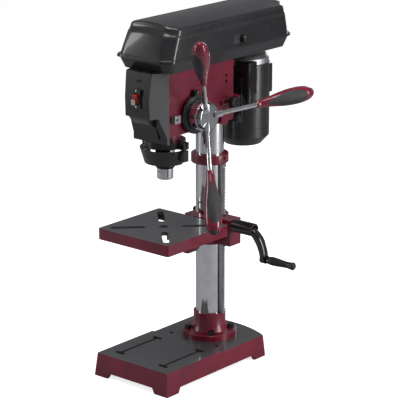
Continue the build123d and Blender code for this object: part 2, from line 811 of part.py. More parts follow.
def stepped_pulley(radii, y, bore_r):
    """A cast step pulley: one grooved rim for each belt place."""
    body = None
    for i, r in enumerate(radii):
        z = pulley_bottom + pulley_step * i
        rim = rod_z(r, z, z + pulley_step, 0, y)
        body = rim if body is None else body + rim
    for i, r in enumerate(radii):
        z = pulley_bottom + pulley_step * (i + 0.5)
        ring = cone_z(r - belt_depth - 1.5, r + 1.5, z, z + 6.9, 0, y)
        ring += cone_z(r + 1.5, r - belt_depth - 1.5, z - 6.9, z, 0, y)
        flat = rod_z(r + 3, z - belt_width / 2 - 0.6, z + belt_width / 2 + 0.6, 0, y)
        core = rod_z(r - belt_depth - 1.5, z - 20, z + 20, 0, y)
        body -= flat - core
    return body - rod_z(bore_r, pulley_bottom - 1, pulley_top + 1, 0, y)


def make_spindle_pulley():
    """The front pulley and the splined sleeve under it, which turns in the head."""
    body = stepped_pulley(pulley_radii, spindle_y, sleeve_r - 1)
    body += rod_z(sleeve_r, quill_top + 8, pulley_top + 6, 0, spindle_y)
    return body - rod_z(spindle_r + gap, quill_top, pulley_top + 10, 0, spindle_y)


def make_idler_pulley():
    return stepped_pulley(tuple(reversed(pulley_radii)), idler_y, idler_pin_r + running)


def make_motor_pulley():
    return stepped_pulley(pulley_radii, motor_y, shaft_r)


def make_idler_pin():
    """The upright pin in the head that the middle pulley turns on."""
    body = rod_z(idler_pin_r, head_top - 58, pulley_top + 6, 0, idler_y)
    return body + rod_z(idler_pin_r + 1.8, pan_bottom - 1.8, pulley_bottom - gap, 0, idler_y)


def belt(level, y0, r0, y1, r1):
    """A belt loop round two pulleys at one step, inside their grooves."""
    z = pulley_bottom + pulley_step * (level + 0.5) - belt_width / 2
    loops = []
    for inset in (0.8, belt_depth):
        first = Pos(0, y0) * Circle(r0 - inset)
        second = Pos(0, y1) * Circle(r1 - inset)
        loops.append(make_hull(first.edges() + second.edges()))
    return extrude(Plane.XY.offset(z) * (loops[0] - loops[1]), amount=belt_width)


def make_front_belt():
    return belt(1, spindle_y, pulley_radii[1], idler_y, pulley_radii[-2])


def make_rear_belt():
    return belt(2, idler_y, pulley_radii[-3], motor_y, pulley_radii[2])


# ---------------------------------------------------------------- motor
def make_motor_housing():
    z0 = motor_bottom + fan_cover_height
    z1 = motor_top - bell_height
    body = rod_z(motor_r, z0, z1, 0, motor_y) - rod_z(motor_r - 6, z0 + 4, z1 + 1, 0, motor_y)
    return body - rod_z(shaft_r + 4, z0 - 1, z1, 0, motor_y)


def make_motor_bell():
    """The cast upper end bell with the shaft's bearing seat."""
    z0 = motor_top - bell_height
    body = rod_z(motor_r - 2, z0, motor_top, 0, motor_y)
    body = chamfer(body.edges().group_by(Axis.Z)[-1], 8.0)
    body -= rod_z(motor_r - 10, z0 - 1, motor_top - 6, 0, motor_y)
    body += rod_z(20, z0, motor_top - 5, 0, motor_y)
    return body - rod_z(shaft_r + running, z0 - 1, motor_top + 1, 0, motor_y)


def make_motor_fan_cover():
    z1 = motor_bottom + fan_cover_height
    body = rod_z(motor_r, motor_bottom, z1, 0, motor_y)
    body = chamfer(body.edges().group_by(Axis.Z)[0], motor_chamfer, motor_chamfer * 0.9)
    inner = rod_z(motor_r - 3, motor_bottom + 3, z1 + 1, 0, motor_y)
    inner = chamfer(inner.edges().group_by(Axis.Z)[0], motor_chamfer, motor_chamfer * 0.9)
    body -= inner
    for ring_r in (14.0, 24.0, 34.0):
        for i in range(12):
            x = ring_r * cos(radians(30 * i))
            y = motor_y + ring_r * sin(radians(30 * i))
            body -= rod_z(2.6, motor_bottom - 1, motor_bottom + 4, x, y)
    return body


def make_motor_rotor():
    """Shaft, laminated core and cooling fan."""
    z0 = motor_bottom + fan_cover_height
    body = rod_z(shaft_r, motor_bottom + 8, pulley_top + 4, 0, motor_y)
    body += rod_z(32, z0 + 40, motor_top - bell_height - 40, 0, motor_y)
    body += rod_z(46, motor_bottom + 22, motor_bottom + 26, 0, motor_y)
    for i in range(6):
        blade = block(10, 46, -1, 1, motor_bottom + 26 - eps, motor_bottom + 38)
        body += Pos(0, motor_y, 0) * Rot(0, 0, 60 * i) * blade
    return body


def make_motor_stator():
    z0 = motor_bottom + fan_cover_height
    body = rod_z(motor_r - 6, z0 + 36, motor_top - bell_height - 36, 0, motor_y)
    return body - rod_z(33, z0, motor_top, 0, motor_y)


def make_motor_plate():
    """The plate between the slide rods and the motor, with two saddle pads."""
    y0 = motor_plate_y
    y1 = y0 + motor_plate_thickness
    body = block(-56, 56, y0, y1, 625, 745)
    for z in (640, 715):
        body += block(-26, 26, y1 - eps, motor_y - motor_r + 14, z, z + 18)
    body -= rod_z(motor_r, 500, 800, 0, motor_y)
    for side in (-1, 1):
        body -= rod_y(slide_rod_r - 2, y0 - 1, y1 + 1, side * slide_rod_x, slide_rod_z)
    return body


def make_slide_rods():
    y0 = motor_plate_y
    rods = []
    for side in (-1, 1):
        x = side * slide_rod_x
        rod = rod_y(slide_rod_r, 4, y0, x, slide_rod_z)
        rods.append(rod + rod_y(slide_rod_r - 2, y0 - eps, y0 + motor_plate_thickness, x, slide_rod_z))
    return Compound(rods)


def make_junction_box():
    body = block(27, 76, 64, 98, box_bottom, box_bottom + 84)
    body = fillet(body.edges().filter_by(Axis.Z), 4.0)
    body = fillet(body.edges().group_by(Axis.Z)[-1], 3.0)
    return body - rod_z(motor_r, 500, 800, 0, motor_y)


def make_capacitor_cover():
    body = block(24, 55, 156, 188, 686, 760)
    body = fillet(body.edges().filter_by(Axis.Z), 3.0)
    return body - rod_z(motor_r, 500, 800, 0, motor_y)


def make_cord_gland():
    """The moulded bush in the motor's box where the mains lead enters."""
    z = box_bottom
    body = rod_z(9, z - 10, z, gland_x, gland_y) + rod_z(6.5, z - 24, z - 10, gland_x, gland_y)
    return body - rod_z(3.5, z - 30, z - 1, gland_x, gland_y)


def make_tension_knob():
    """The knob that locks the motor's slide, on its screw."""
    x0 = slide_rod_x + slide_rod_r + gap
    x1 = slide_rod_x + slide_rod_r + 14
    body = rod_x(lock_screw_r, x0, x1 + 4, lock_y, slide_rod_z)
    body += rod_x(16, x1, x1 + 16, lock_y, slide_rod_z)
    return chamfer(body.edges().group_by(Axis.X)[-1], 2.0)


# ---------------------------------------------------------------- chuck guard


def make_guard_ring():
    z0, z1 = guard_ring_bottom, guard_ring_bottom + guard_ring_height
    body = rod_z(quill_boss_r + 14, z0, z1 - 2, 0, spindle_y)
    body += block(40, 70, spindle_y - 10, spindle_y + 10, z0, z1 - 2)
    body += block(guard_pivot_x, -40, spindle_y - 9, spindle_y + 9, z0, z1 - 4)
    body += rod_z(9, z0, z1 - 4, guard_pivot_x, spindle_y)
    body -= rod_z(quill_boss_r, z0 - 1, z1 + 1, 0, spindle_y)
    body -= block(30, 90, spindle_y - 1.5, spindle_y + 1.5, z0 - 1, z1 + 1)
    body -= rod_y(2.5, spindle_y - 30, spindle_y + 30, 62, z0 + 9)
    return body - rod_z(3.0, z0 - 1, z1 + 1, guard_pivot_x, spindle_y)


def make_guard_shield():
    """A dished half shield round the front of the chuck, swinging on an upright pin at its left end."""
    z0, z1 = guard_ring_bottom - 41, guard_ring_bottom - 2
    shell = cone_z(52, 64, z0, z1, 0, spindle_y) - cone_z(49, 61, z0 + 3, z1 + eps, 0, spindle_y)
    shell -= rod_z(chuck_sleeve_r + 3, z0 - 1, z0 + 5, 0, spindle_y)
    shell &= block(-90, 90, spindle_y - 90, spindle_y + 6, 0, 900)
    shell -= block(-chuck_sleeve_r - 3, chuck_sleeve_r + 3, spindle_y, spindle_y + 40, z0 - 1, z0 + 5)
    shell += rod_z(8, z1 - 14, z1, guard_pivot_x, spindle_y)
    shell += rod_z(2.9, z1 - 1, guard_ring_bottom + 14, guard_pivot_x, spindle_y)
    shell += block(58, 72, spindle_y - 12, spindle_y + 6, z1 - 28, z1)
    return shell


# ---------------------------------------------------------------- table, bracket and lift
def table_slots(z0, z1):
    cuts = []
    for i in range(4):
        a = radians(45 + 90 * i)
        length = table_slot_outer - table_slot_inner
        middle = (table_slot_outer + table_slot_inner) / 2
        shape = SlotOverall(length, table_slot_width)
        place = Pos(middle * cos(a), table_y + middle * sin(a), z0) * Rot(0, 0, degrees(a))
        cuts.append(extrude(place * shape, amount=z1 - z0))
    return cuts


def make_table():
    z0 = table_top - table_skirt
    body = block(-table_half, table_half, table_front, table_rear, z0, table_top)
    body = fillet(body.edges().filter_by(Axis.Z), 6.0)
    under = table_top - table_plate
    inner = table_half - table_wall
    y0 = table_front + table_wall
    y1 = table_rear - table_wall
    body -= block(-inner, inner, y0, y1, z0 - 1, under)
    for x in (-40.0, 40.0):
        body += block(x - 3, x + 3, y0 - eps, y1 + eps, z0 + 9, under + eps)
    lug_y = tilt_face - gap
    lug = rod_y(tilt_disc_r, lug_y - 14, lug_y, 0, tilt_z)
    lug += block(-tilt_disc_r, tilt_disc_r, lug_y - 14, lug_y, tilt_z, under + eps)
    gusset = [(lug_y - 14, under + eps), (lug_y - 60, under + eps), (lug_y - 14, tilt_z - 20)]
    lug += prism_x(gusset, -5, 5)
    body += lug
    body -= rod_y(tilt_bolt_r + running, lug_y - 15, lug_y + 1, 0, tilt_z)
    body -= rod_y(tilt_bolt_r * 2.2, lug_y - 80, lug_y - 14, 0, tilt_z)
    for cut in table_slots(z0, table_top + 1):
        body -= cut
    body -= rod_z(table_hole_r, z0 - 20, table_top + 1, 0, table_y)
    body -= block(20, 34, table_rear - 2.5, table_rear + 1, z0 - 1, table_top + 1)
    return body


def make_table_bracket():
    """The split sleeve on the column with the table's arm and the gear housing."""
    body = rod_z(bracket_r, bracket_bottom, bracket_top)
    body += block(30, 92, crank_y - 15, 14, bracket_bottom + 5, bracket_top + 2)
    body = body.solid()
    body += rod_y(arm_r, tilt_face, -30, 0, tilt_z)
    body += rod_y(tilt_disc_r, tilt_face, table_rear - table_wall - 3, 0, tilt_z)
    body += block(-74, -36, -13, 13, bracket_bottom + 12, bracket_top - 12)
    body -= rod_z(column_r + gap, 0, 900)
    body -= block(-90, -30, -1.5, 1.5, 0, 900)
    body -= rod_y(clamp_bolt_r + running, -30, 30, clamp_x, clamp_z)
    # gear case: a well for the pinion, wheel and worm, open to the rack
    half = rack_half_width + 0.5
    body -= block(column_r, rack_back + rack_thickness + 0.6, -half, half, 0, 900)
    r = wheel_pitch_r + 2
    body -= block(lift_x - r, lift_x + r + 2, crank_y - 8, rack_half_width + 1, lift_z - r - 2, lift_z + r - 3)
    body -= block(lift_x - 8.5, lift_x + 20, crank_y - 8, crank_y + 8, lift_z, crank_z + worm_r + 1.5)
    body -= rod_y(6 + running, crank_y - 40, 40, lift_x, lift_z)
    body -= rod_x(crank_shaft_r + running, lift_x, 140, crank_y, crank_z)
    body -= rod_y(tilt_bolt_r, tilt_face - 1, -50, 0, tilt_z)
    return body


def make_clamp_lever():
    """The lever that pinches the bracket's split sleeve, with a ball at its end."""
    body = rod_y(clamp_bolt_r, -16, 19, clamp_x, clamp_z)
    body += rod_y(9, -21, -13 - gap, clamp_x, clamp_z)
    body += rod_y(8, 13 + gap, 24, clamp_x, clamp_z)
    tip = (clamp_x - 6, 20, clamp_z + 30)
    direction = (tip[0] - clamp_x, 0, tip[2] - clamp_z)
    body += along(direction, (clamp_x - 3, 20, clamp_z + 15)) * Cylinder(3.5, 32)
    return body + Pos(*tip) * Sphere(7)


def make_tilt_bolt():
    """The hex bolt that the table tilts on and is locked by."""
    lug_y = tilt_face - gap - 14
    body = rod_y(tilt_bolt_r, lug_y - 1, -50, 0, tilt_z)
    return body + Pos(0, lug_y - gap - 5, tilt_z) * Rot(90, 0, 0) * hexagon(24, 10)


def make_rack():
    """The toothed bar beside the column, from the flange's neck to the collar."""
    z0 = neck_top + gap
    z1 = collar_bottom - gap
    z2 = collar_bottom + rack_tongue_height
    front = rack_back + rack_thickness
    points = [(rack_back, z0), (front, z0)]
    points += [(front - depth, z) for z, depth in rack_edge(z0 + 2, collar_bottom - 3, lift_z)]
    tongue = rack_back + rack_tongue
    points += [(front, z1), (tongue, z1), (tongue, z2), (rack_back, z2)]
    return prism_y(points, -rack_half_width, rack_half_width)


def make_lift_gear():
    """One piece on its pin: the pinion in the rack, and the wheel that the worm drives."""
    turned = Pos(lift_x, 0, lift_z) * Rot(90, 0, 0)
    body = turned * (Rot(0, 0, 180) * gear(lift_pinion_teeth, 2 * rack_half_width))
    wheel = rod_y(wheel_pitch_r - gap, crank_y - 6, -rack_half_width - gap, lift_x, lift_z)
    return body + wheel + rod_y(6, crank_y - 14, 13, lift_x, lift_z)


def make_crank_shaft():
    """The worm and its shaft, which the crank turns."""
    body = rod_x(worm_r - gap, lift_x - 8, lift_x + 19, crank_y, crank_z)
    body += rod_x(crank_shaft_r, lift_x + 20 + gap, crank_hub_start + 40, crank_y, crank_z)
    return body + rod_x(worm_r - gap - 1, lift_x + 18, lift_x + 21, crank_y, crank_z)


def make_crank_arm():
    """The crank: a hub on the shaft, and a bowed arm down to the handle's pin."""
    body = rod_x(crank_hub_r, crank_hub_start, crank_hub_end, crank_y, crank_z)
    body = chamfer(body.edges().group_by(Axis.X)[-1], 2.0)
    low = crank_z - crank_radius
    x0 = crank_hub_end
    x1 = crank_grip_start
    outer = ThreePointArc((x0 - 4, crank_z), (x0 + 27, crank_z - 34), (x1 - 4, low))
    inner = ThreePointArc((x1 - 14, low), (x0 + 15, crank_z - 36), (x0 - 22, crank_z))
    ends = [Line((x1 - 4, low), (x1 - 14, low)), Line((x0 - 22, crank_z), (x0 - 4, crank_z))]
    plane = Plane(origin=(0, crank_y + 11, 0), x_dir=(1, 0, 0), z_dir=(0, -1, 0))
    body += extrude(plane * make_face(Curve() + [outer, inner] + ends), amount=22)
    body += rod_x(11, crank_grip_start - 16, crank_grip_start - 1, crank_y, low)
    body += rod_x(4, crank_grip_start - 2, crank_grip_end - 8, crank_y, low)
    return body - rod_x(crank_shaft_r, crank_hub_start - 1, crank_hub_start + 40, crank_y, crank_z)


def make_crank_grip():
    """The loose handle that spins on the crank's pin."""
    low = crank_z - crank_radius
    x0 = crank_grip_start + gap
    length = crank_grip_end - x0
    side = Spline((0, 8), (20, 11), (60, 8.5), (length - 4, 10.5))
    ends = Polyline((length - 4, 10.5), (length, 7), (length, 0), (0, 0), (0, 8))
    face = make_face(Plane.XY * (side + ends))
    body = Pos(x0, crank_y, low) * revolve(face, Axis.X)
    return body - rod_x(4 + running, x0 - 1, crank_grip_end - 8 + gap, crank_y, low)


# ---------------------------------------------------------------- writing the pieces
makers = {
    "base": make_base,
    "column_flange": make_column_flange,
    "flange_bolts": make_flange_bolts,
    "column": make_column,
    "rack_collar": make_rack_collar,
    "set_screws": make_set_screws,
    "head_casting": make_head_casting,
    "front_cover": make_front_cover,
    "switch_body": make_switch_body,
    "switch_paddle": make_switch_paddle,
    "depth_pointer": make_depth_pointer,
    "spring_housing": make_spring_housing,
    "return_spring": make_return_spring,
    "spring_nuts": make_spring_nuts,
    "quill": make_quill,
    "quill_bearings": make_quill_bearings,
    "pulley_bearings": make_pulley_bearings,
    "spindle": make_spindle,
    "chuck_body": make_chuck_body,
    "chuck_sleeve": make_chuck_sleeve,
    "pinion_shaft": make_pinion_shaft,
    "feed_hub": make_feed_hub,
    "lever_rods": make_lever_rods,
    "lever_grips": make_lever_grips,
    "depth_ring": make_depth_ring,
    "depth_lock_knob": make_depth_lock_knob,
    "belt_pan": make_belt_pan,
    "belt_cover": make_belt_cover,
    "cover_knob": make_cover_knob,
    "spindle_pulley": make_spindle_pulley,
    "idler_pulley": make_idler_pulley,
    "motor_pulley": make_motor_pulley,
    "idler_pin": make_idler_pin,
    "front_belt": make_front_belt,
    "rear_belt": make_rear_belt,
    "motor_housing": make_motor_housing,
    "motor_bell": make_motor_bell,
    "motor_fan_cover": make_motor_fan_cover,
    "motor_rotor": make_motor_rotor,
    "motor_stator": make_motor_stator,
    "motor_plate": make_motor_plate,
    "slide_rods": make_slide_rods,
    "junction_box": make_junction_box,
    "capacitor_cover": make_capacitor_cover,
    "cord_gland": make_cord_gland,
    "tension_knob": make_tension_knob,
    "guard_ring": make_guard_ring,
    "guard_shield": make_guard_shield,
    "table": make_table,
    "table_bracket": make_table_bracket,
    "clamp_lever": make_clamp_lever,
    "tilt_bolt": make_tilt_bolt,
    "rack": make_rack,
    "lift_gear": make_lift_gear,
    "crank_shaft": make_crank_shaft,
    "crank_arm": make_crank_arm,
    "crank_grip": make_crank_grip,
}

os.makedirs("parts", exist_ok=True)
for name, maker in makers.items():
    export_step(maker(), f"parts/{name}.step")
for i in range(3):
    export_step(make_jaw(i), f"parts/chuck_jaw_{i + 1}.step")
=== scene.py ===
# %% [markdown]
# A benchtop drill press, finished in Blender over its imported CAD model. The model already has each piece at its
# true size and place, in metres, with +Z up, the operator on -Y and the feed levers on +X. This file loads it as a
# fixed frame, gives every surface its finish, and replaces the pieces whose looks need more than the plain solid.

# %% Load the frame and keep its box
import bpy
import bmesh
import json
import math
import numpy as np
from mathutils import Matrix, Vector


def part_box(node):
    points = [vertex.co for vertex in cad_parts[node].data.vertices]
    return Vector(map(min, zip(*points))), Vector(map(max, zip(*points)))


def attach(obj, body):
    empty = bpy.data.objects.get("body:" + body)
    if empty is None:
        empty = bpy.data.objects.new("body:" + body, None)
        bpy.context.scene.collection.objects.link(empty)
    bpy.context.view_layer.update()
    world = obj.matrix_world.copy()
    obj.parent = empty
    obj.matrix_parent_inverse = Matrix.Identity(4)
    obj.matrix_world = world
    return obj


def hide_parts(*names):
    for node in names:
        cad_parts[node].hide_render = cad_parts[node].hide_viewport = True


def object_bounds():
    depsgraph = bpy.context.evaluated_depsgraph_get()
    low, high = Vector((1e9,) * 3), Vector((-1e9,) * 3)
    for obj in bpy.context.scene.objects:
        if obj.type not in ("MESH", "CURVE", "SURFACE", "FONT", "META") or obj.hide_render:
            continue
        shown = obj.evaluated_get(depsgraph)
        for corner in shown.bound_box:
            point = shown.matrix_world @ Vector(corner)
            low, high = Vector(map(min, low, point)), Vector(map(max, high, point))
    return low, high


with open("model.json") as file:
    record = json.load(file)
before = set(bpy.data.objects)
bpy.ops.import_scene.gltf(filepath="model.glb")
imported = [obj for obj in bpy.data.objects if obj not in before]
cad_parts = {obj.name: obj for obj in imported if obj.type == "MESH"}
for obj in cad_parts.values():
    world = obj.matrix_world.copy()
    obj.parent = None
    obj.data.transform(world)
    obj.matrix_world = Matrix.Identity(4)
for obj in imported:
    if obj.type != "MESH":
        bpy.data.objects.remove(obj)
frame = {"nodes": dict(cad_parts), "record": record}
cad_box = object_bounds()
nodes = frame["nodes"]

# %% [markdown]
# Shader maths reads best as arithmetic, so one small class wraps a socket and gives it Python's operators. Each
# operator adds a Math node. Any other node comes from one method, which makes the settings first and the sockets'
# values or links after them.

# %% A socket with arithmetic
class Flow:
    def __init__(self, tree, socket=None):
        self.tree = tree
        self.socket = socket

    def add(self, kind, settings=None, values=None, out=0):
        """A node of this kind: its settings, then its sockets' values or links. Returns one output."""
        node = self.tree.nodes.new(kind)
        for key, value in (settings or {}).items():
            setattr(node, key, value)
        for key, value in (values or {}).items():
            self.put(node.inputs[key], value)
        return Flow(self.tree, node.outputs[out])

    def put(self, socket, value):
        """Links a Flow to a socket, or sets a plain value on it."""
        if isinstance(value, Flow):
            self.tree.links.new(value.socket, socket)
        else:
            socket.default_value = value

    def maths(self, operation, first, second=0.0):
        return self.add("ShaderNodeMath", {"operation": operation}, {0: first, 1: second})

    def __add__(self, other):
        return self.maths("ADD", self, other)

    __radd__ = __add__

    def __sub__(self, other):
        return self.maths("SUBTRACT", self, other)

    def __rsub__(self, other):
        return self.maths("SUBTRACT", other, self)

    def __mul__(self, other):
        return self.maths("MULTIPLY", self, other)

    __rmul__ = __mul__

    def __truediv__(self, other):
        return self.maths("DIVIDE", self, other)

    def __rtruediv__(self, other):
        return self.maths("DIVIDE", other, self)

    def step(self, low, high):
        """0 below low, 1 above high, and a smooth rise between them."""
        return self.add("ShaderNodeMapRange", {"interpolation_type": "SMOOTHSTEP"},
                        {0: self, 1: low, 2: high, 3: 0.0, 4: 1.0})

    def mix(self, first, second):
        """Two colours mixed by this value."""
        return self.add("ShaderNodeMix", {"data_type": "RGBA"}, {0: self, 6: first, 7: second}, out=2)


print("shader arithmetic ready")

# %% [markdown]
# Every finish starts the same way: a Principled shader, the surface's own Object coordinates, and noise at the
# scale of the real surface. Paint has a faint orange peel, castings a coarser grain under it, moulded plastic a
# fine texture, and turned steel has rings. The helper below opens a material and hands back what the finish needs.

# %% Open a material
def start_finish(name):
    """A new node material: its Flow, its shader node and its Object coordinates in metres."""
    material = bpy.data.materials.new(name)
    material.use_nodes = True
    tree = material.node_tree
    shader = tree.nodes["Principled BSDF"]
    flow = Flow(tree)
    return material, flow, shader, flow.add("ShaderNodeTexCoord", out=3)


def noise(flow, place, scale, detail=3.0, rough=0.5):
    """Noise from 0 to 1, with scale in lumps per metre."""
    return flow.add("ShaderNodeTexNoise", {"noise_dimensions": "3D"},
                    {"Vector": place, "Scale": scale, "Detail": detail, "Roughness": rough})


def parts_of(flow, place):
    """The X, Y and Z of a vector."""
    split = flow.add("ShaderNodeSeparateXYZ", None, {0: place})
    return split, Flow(flow.tree, split.socket.node.outputs[1]), Flow(flow.tree, split.socket.node.outputs[2])


def bump(flow, shader, height, strength, distance):
    normal = flow.add("ShaderNodeBump", None, {"Height": height, "Strength": strength, "Distance": distance})
    flow.put(shader.inputs["Normal"], normal)


print("material helper ready")

# %% [markdown]
# The machine has two paints over cast iron: a deep maroon on the castings and a dark grey on the faces that point
# up on the base and table. Both are one sprayed film, so one function makes them, and where a casting has a painted
# top, the grey follows the surface's own normal. On the table and base the same grey is also painted on the walls of
# the slots, which the slot limits pick out: that is painted shade, standing in for the shadow inside the slots. Coat
# gives the clear gloss and the noise the orange peel.

# %% Paints
def paint(name, colour, roughness=0.34, coat=0.4, top_grey_and_slot_shade=None, top_from=0.0, peel=900.0, slot_shade_limits=None):
    """Sprayed paint. A second colour where it faces up above a height, and the same colour as painted shade on slot
    walls within a half width and two Y limits.
    """
    material, flow, shader, place = start_finish(name)
    cloud = noise(flow, place, 14.0, 2.0)
    low = tuple(c * 0.86 for c in colour) + (1.0,)
    high = tuple(min(1.0, c * 1.14) for c in colour) + (1.0,)
    tint = cloud.step(0.35, 0.65).mix(low, high)
    if top_grey_and_slot_shade:
        up = parts_of(flow, flow.add("ShaderNodeNewGeometry", out=1))[2]
        height = parts_of(flow, place)[2]
        grey_top_and_slot_shade_mask = up.step(0.55, 0.75) * height.step(top_from - 0.0006, top_from)
        # Painted shade: slot walls within the limits and just under the top take the grey, for the shadow inside the
        # slots.
        if slot_shade_limits:
            spot = parts_of(flow, place)
            off_x = spot[0] * spot[0]
            off_y = (spot[1] - (slot_shade_limits[1] + slot_shade_limits[2]) / 2) * (spot[1] - (slot_shade_limits[1] + slot_shade_limits[2]) / 2)
            span = (slot_shade_limits[2] - slot_shade_limits[1]) / 2
            slot_shade_x = 1.0 - off_x.step(slot_shade_limits[0] ** 2 * 0.999, slot_shade_limits[0] ** 2)
            slot_shade_y = 1.0 - off_y.step(span ** 2 * 0.999, span ** 2)
            grey_top_and_slot_shade_mask = grey_top_and_slot_shade_mask.maths("MAXIMUM", grey_top_and_slot_shade_mask, slot_shade_x * slot_shade_y * height.step(top_from - 0.03, top_from - 0.028))
        speck = noise(flow, place, 420.0, 2.0)
        grey_low = tuple(c * 0.9 for c in top_grey_and_slot_shade) + (1.0,)
        grey_high = tuple(c * 1.1 for c in top_grey_and_slot_shade) + (1.0,)
        tint = grey_top_and_slot_shade_mask.mix(tint, speck.step(0.4, 0.6).mix(grey_low, grey_high))
    flow.put(shader.inputs["Base Color"], tint)
    flow.put(shader.inputs["Roughness"], noise(flow, place, 60.0, 3.0) * 0.14 + (roughness - 0.07))
    shader.inputs["Coat Weight"].default_value = coat
    shader.inputs["Coat Roughness"].default_value = 0.08
    grain = noise(flow, place, peel, 2.0) + noise(flow, place, peel / 5, 2.0) * 0.6
    bump(flow, shader, grain, 0.06, 0.0001)
    return material


MAROON = (0.185, 0.006, 0.026)
TOP_GREY_AND_SLOT_SHADE = (0.060, 0.061, 0.064)
BLACK = (0.016, 0.016, 0.018)
maroon = paint("maroon_casting_paint", MAROON)
table_low, table_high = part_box("table")
# The table and base paints also darken their slot walls with the top grey, as painted shade.
maroon_table = paint("maroon_table_paint", MAROON, top_grey_and_slot_shade=TOP_GREY_AND_SLOT_SHADE, top_from=table_high[2] - 0.0012,
                     slot_shade_limits=(table_high[0] - 0.003, table_low[1] + 0.003, table_high[1] - 0.003))
maroon_base = paint("maroon_base_paint", MAROON, top_grey_and_slot_shade=TOP_GREY_AND_SLOT_SHADE, top_from=0.045, slot_shade_limits=(0.092, -0.284, -0.050))
black_paint = paint("black_motor_paint", BLACK, 0.34, 0.3)
cover_paint = paint("gloss_cover_paint", (0.017, 0.017, 0.019), 0.30, 0.5, peel=1600.0)
arm_paint = paint("black_gloss_enamel", (0.012, 0.012, 0.013), 0.16, 0.8)
print("6 paints")

# %% [markdown]
# The other finishes are moulded plastics, plated and turned steel, cast aluminium and rubber. Plastic gets a fine
# moulded grain, chrome is a clean mirror with only a breath of waviness, and ground steel has fine rings round the
# axis that the lathe turned about.

# %% Plastics and rubber
def plastic(name, colour, roughness, grain=2600.0, depth=0.00006, coat=0.0, side=None):
    """Moulded plastic. side is a lighter colour painted on outer walls that face left or right, as a painted
    highlight.
    """
    material, flow, shader, place = start_finish(name)
    low = tuple(c * 0.88 for c in colour) + (1.0,)
    high = tuple(min(1.0, c * 1.12) for c in colour) + (1.0,)
    tint = noise(flow, place, 30.0).step(0.35, 0.65).mix(low, high)
    if side:
        # Painted highlight: outer walls that face left or right, away from the middle, get the lighter colour, as
        # lit sides would show.
        facing = parts_of(flow, flow.add("ShaderNodeNewGeometry", out=1))[0]
        outer = parts_of(flow, place)[0]
        side_highlight_mask = (facing * facing).step(0.30, 0.34) * (outer * outer).step(0.0009, 0.0010)
        tint = side_highlight_mask.mix(tint, side + (1.0,))
    flow.put(shader.inputs["Base Color"], tint)
    flow.put(shader.inputs["Roughness"], noise(flow, place, 90.0) * 0.12 + (roughness - 0.06))
    shader.inputs["Coat Weight"].default_value = coat
    shader.inputs["Coat Roughness"].default_value = 0.08
    bump(flow, shader, noise(flow, place, grain, 2.0), 0.3, depth)
    return material


# The panel's black walls that face left or right are painted grey as a painted highlight.
panel_black = plastic("panel_black_plastic", (0.012, 0.012, 0.014), 0.30, coat=0.4, side=(0.045, 0.046, 0.050))
guard_black = plastic("guard_black_plastic", (0.012, 0.012, 0.014), 0.22, coat=0.5)
knob_black = plastic("knob_black_plastic", (0.014, 0.014, 0.015), 0.30, coat=0.3)
dial_black = plastic("dial_black_plastic", (0.016, 0.016, 0.018), 0.34)
grip_maroon = plastic("grip_maroon_plastic", (0.200, 0.006, 0.024), 0.16, coat=0.8)
grip_rubber = plastic("grip_pad_rubber", (0.035, 0.035, 0.038), 0.62, 1400.0, 0.0002)
belt_rubber = plastic("belt_rubber", (0.018, 0.018, 0.018), 0.7, 700.0, 0.0003)
paddle_red = plastic("paddle_red_plastic", (0.52, 0.020, 0.012), 0.25, coat=0.5)
ivory = plastic("ivory_plastic", (0.55, 0.50, 0.42), 0.4)
white_ink = plastic("white_dial_ink", (0.80, 0.80, 0.80), 0.5)
hub_grey = plastic("hub_cap_grey", (0.07, 0.08, 0.10), 0.30, coat=0.3)
print("11 plastics")

# %% Metals
def metal(name, colour, roughness, wave=0.0, rings=None, grain=0.0):
    """Bare or plated metal. rings is the axis index that lathe marks run round, grain a cast surface's depth."""
    material, flow, shader, place = start_finish(name)
    low = tuple(c * 0.93 for c in colour) + (1.0,)
    high = tuple(min(1.0, c * 1.05) for c in colour) + (1.0,)
    flow.put(shader.inputs["Base Color"], noise(flow, place, 40.0).step(0.3, 0.7).mix(low, high))
    shader.inputs["Metallic"].default_value = 1.0
    shine = noise(flow, place, 130.0) * 0.08 + (roughness - 0.04)
    height = noise(flow, place, 35.0, 1.0) * wave
    if rings is not None:
        along = parts_of(flow, place)[rings]
        line = flow.add("ShaderNodeTexNoise", {"noise_dimensions": "1D"},
                        {"W": along, "Scale": 1500.0, "Detail": 2.0})
        height = height + line * 0.6
        shine = shine + line * 0.08
    if grain:
        height = height + noise(flow, place, 900.0, 3.0) * grain
    flow.put(shader.inputs["Roughness"], shine)
    bump(flow, shader, height, 0.25, 0.00012)
    return material


chrome = metal("bright_chrome", (0.83, 0.83, 0.85), 0.08, wave=0.05)
hub_chrome = metal("dark_hub_chrome", (0.42, 0.42, 0.44), 0.16, wave=0.05)
column_chrome = metal("column_chrome", (0.86, 0.86, 0.88), 0.09, wave=0.08)
turned_z = metal("turned_steel_upright", (0.52, 0.52, 0.53), 0.26, rings=2)
turned_x = metal("turned_steel_across", (0.55, 0.55, 0.56), 0.24, rings=0)
plain_steel = metal("milled_steel", (0.50, 0.50, 0.51), 0.30, wave=0.4)
black_oxide = metal("black_oxide_steel", (0.055, 0.055, 0.06), 0.34, wave=0.3)
cast_aluminium = metal("cast_aluminium", (0.50, 0.50, 0.52), 0.42, grain=0.9)
lamination = metal("stator_iron", (0.22, 0.22, 0.22), 0.5, rings=2)
print("9 metals")

# %% [markdown]
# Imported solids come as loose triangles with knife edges. Real castings, mouldings and pressings have small radii
# that catch the light, so a copy of each visible node is merged, its flat faces are joined, and a Bevel modifier
# rounds the edges. The copy then stands for the node, and rides on the same body.

# %% Rounded copies of CAD nodes
body_of_node = {}
for body_name, members in frame["record"]["behaviour"]["bodies"].items():
    for member in members:
        body_of_node[member] = body_name


def dress(piece, body, material, *stands_for):
    """Gives a finished piece its finish and its body, and says which nodes it stands for."""
    piece.data.materials.clear()
    piece.data.materials.append(material)
    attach(piece, body)
    if stands_for:
        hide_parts(*stands_for)
    return piece


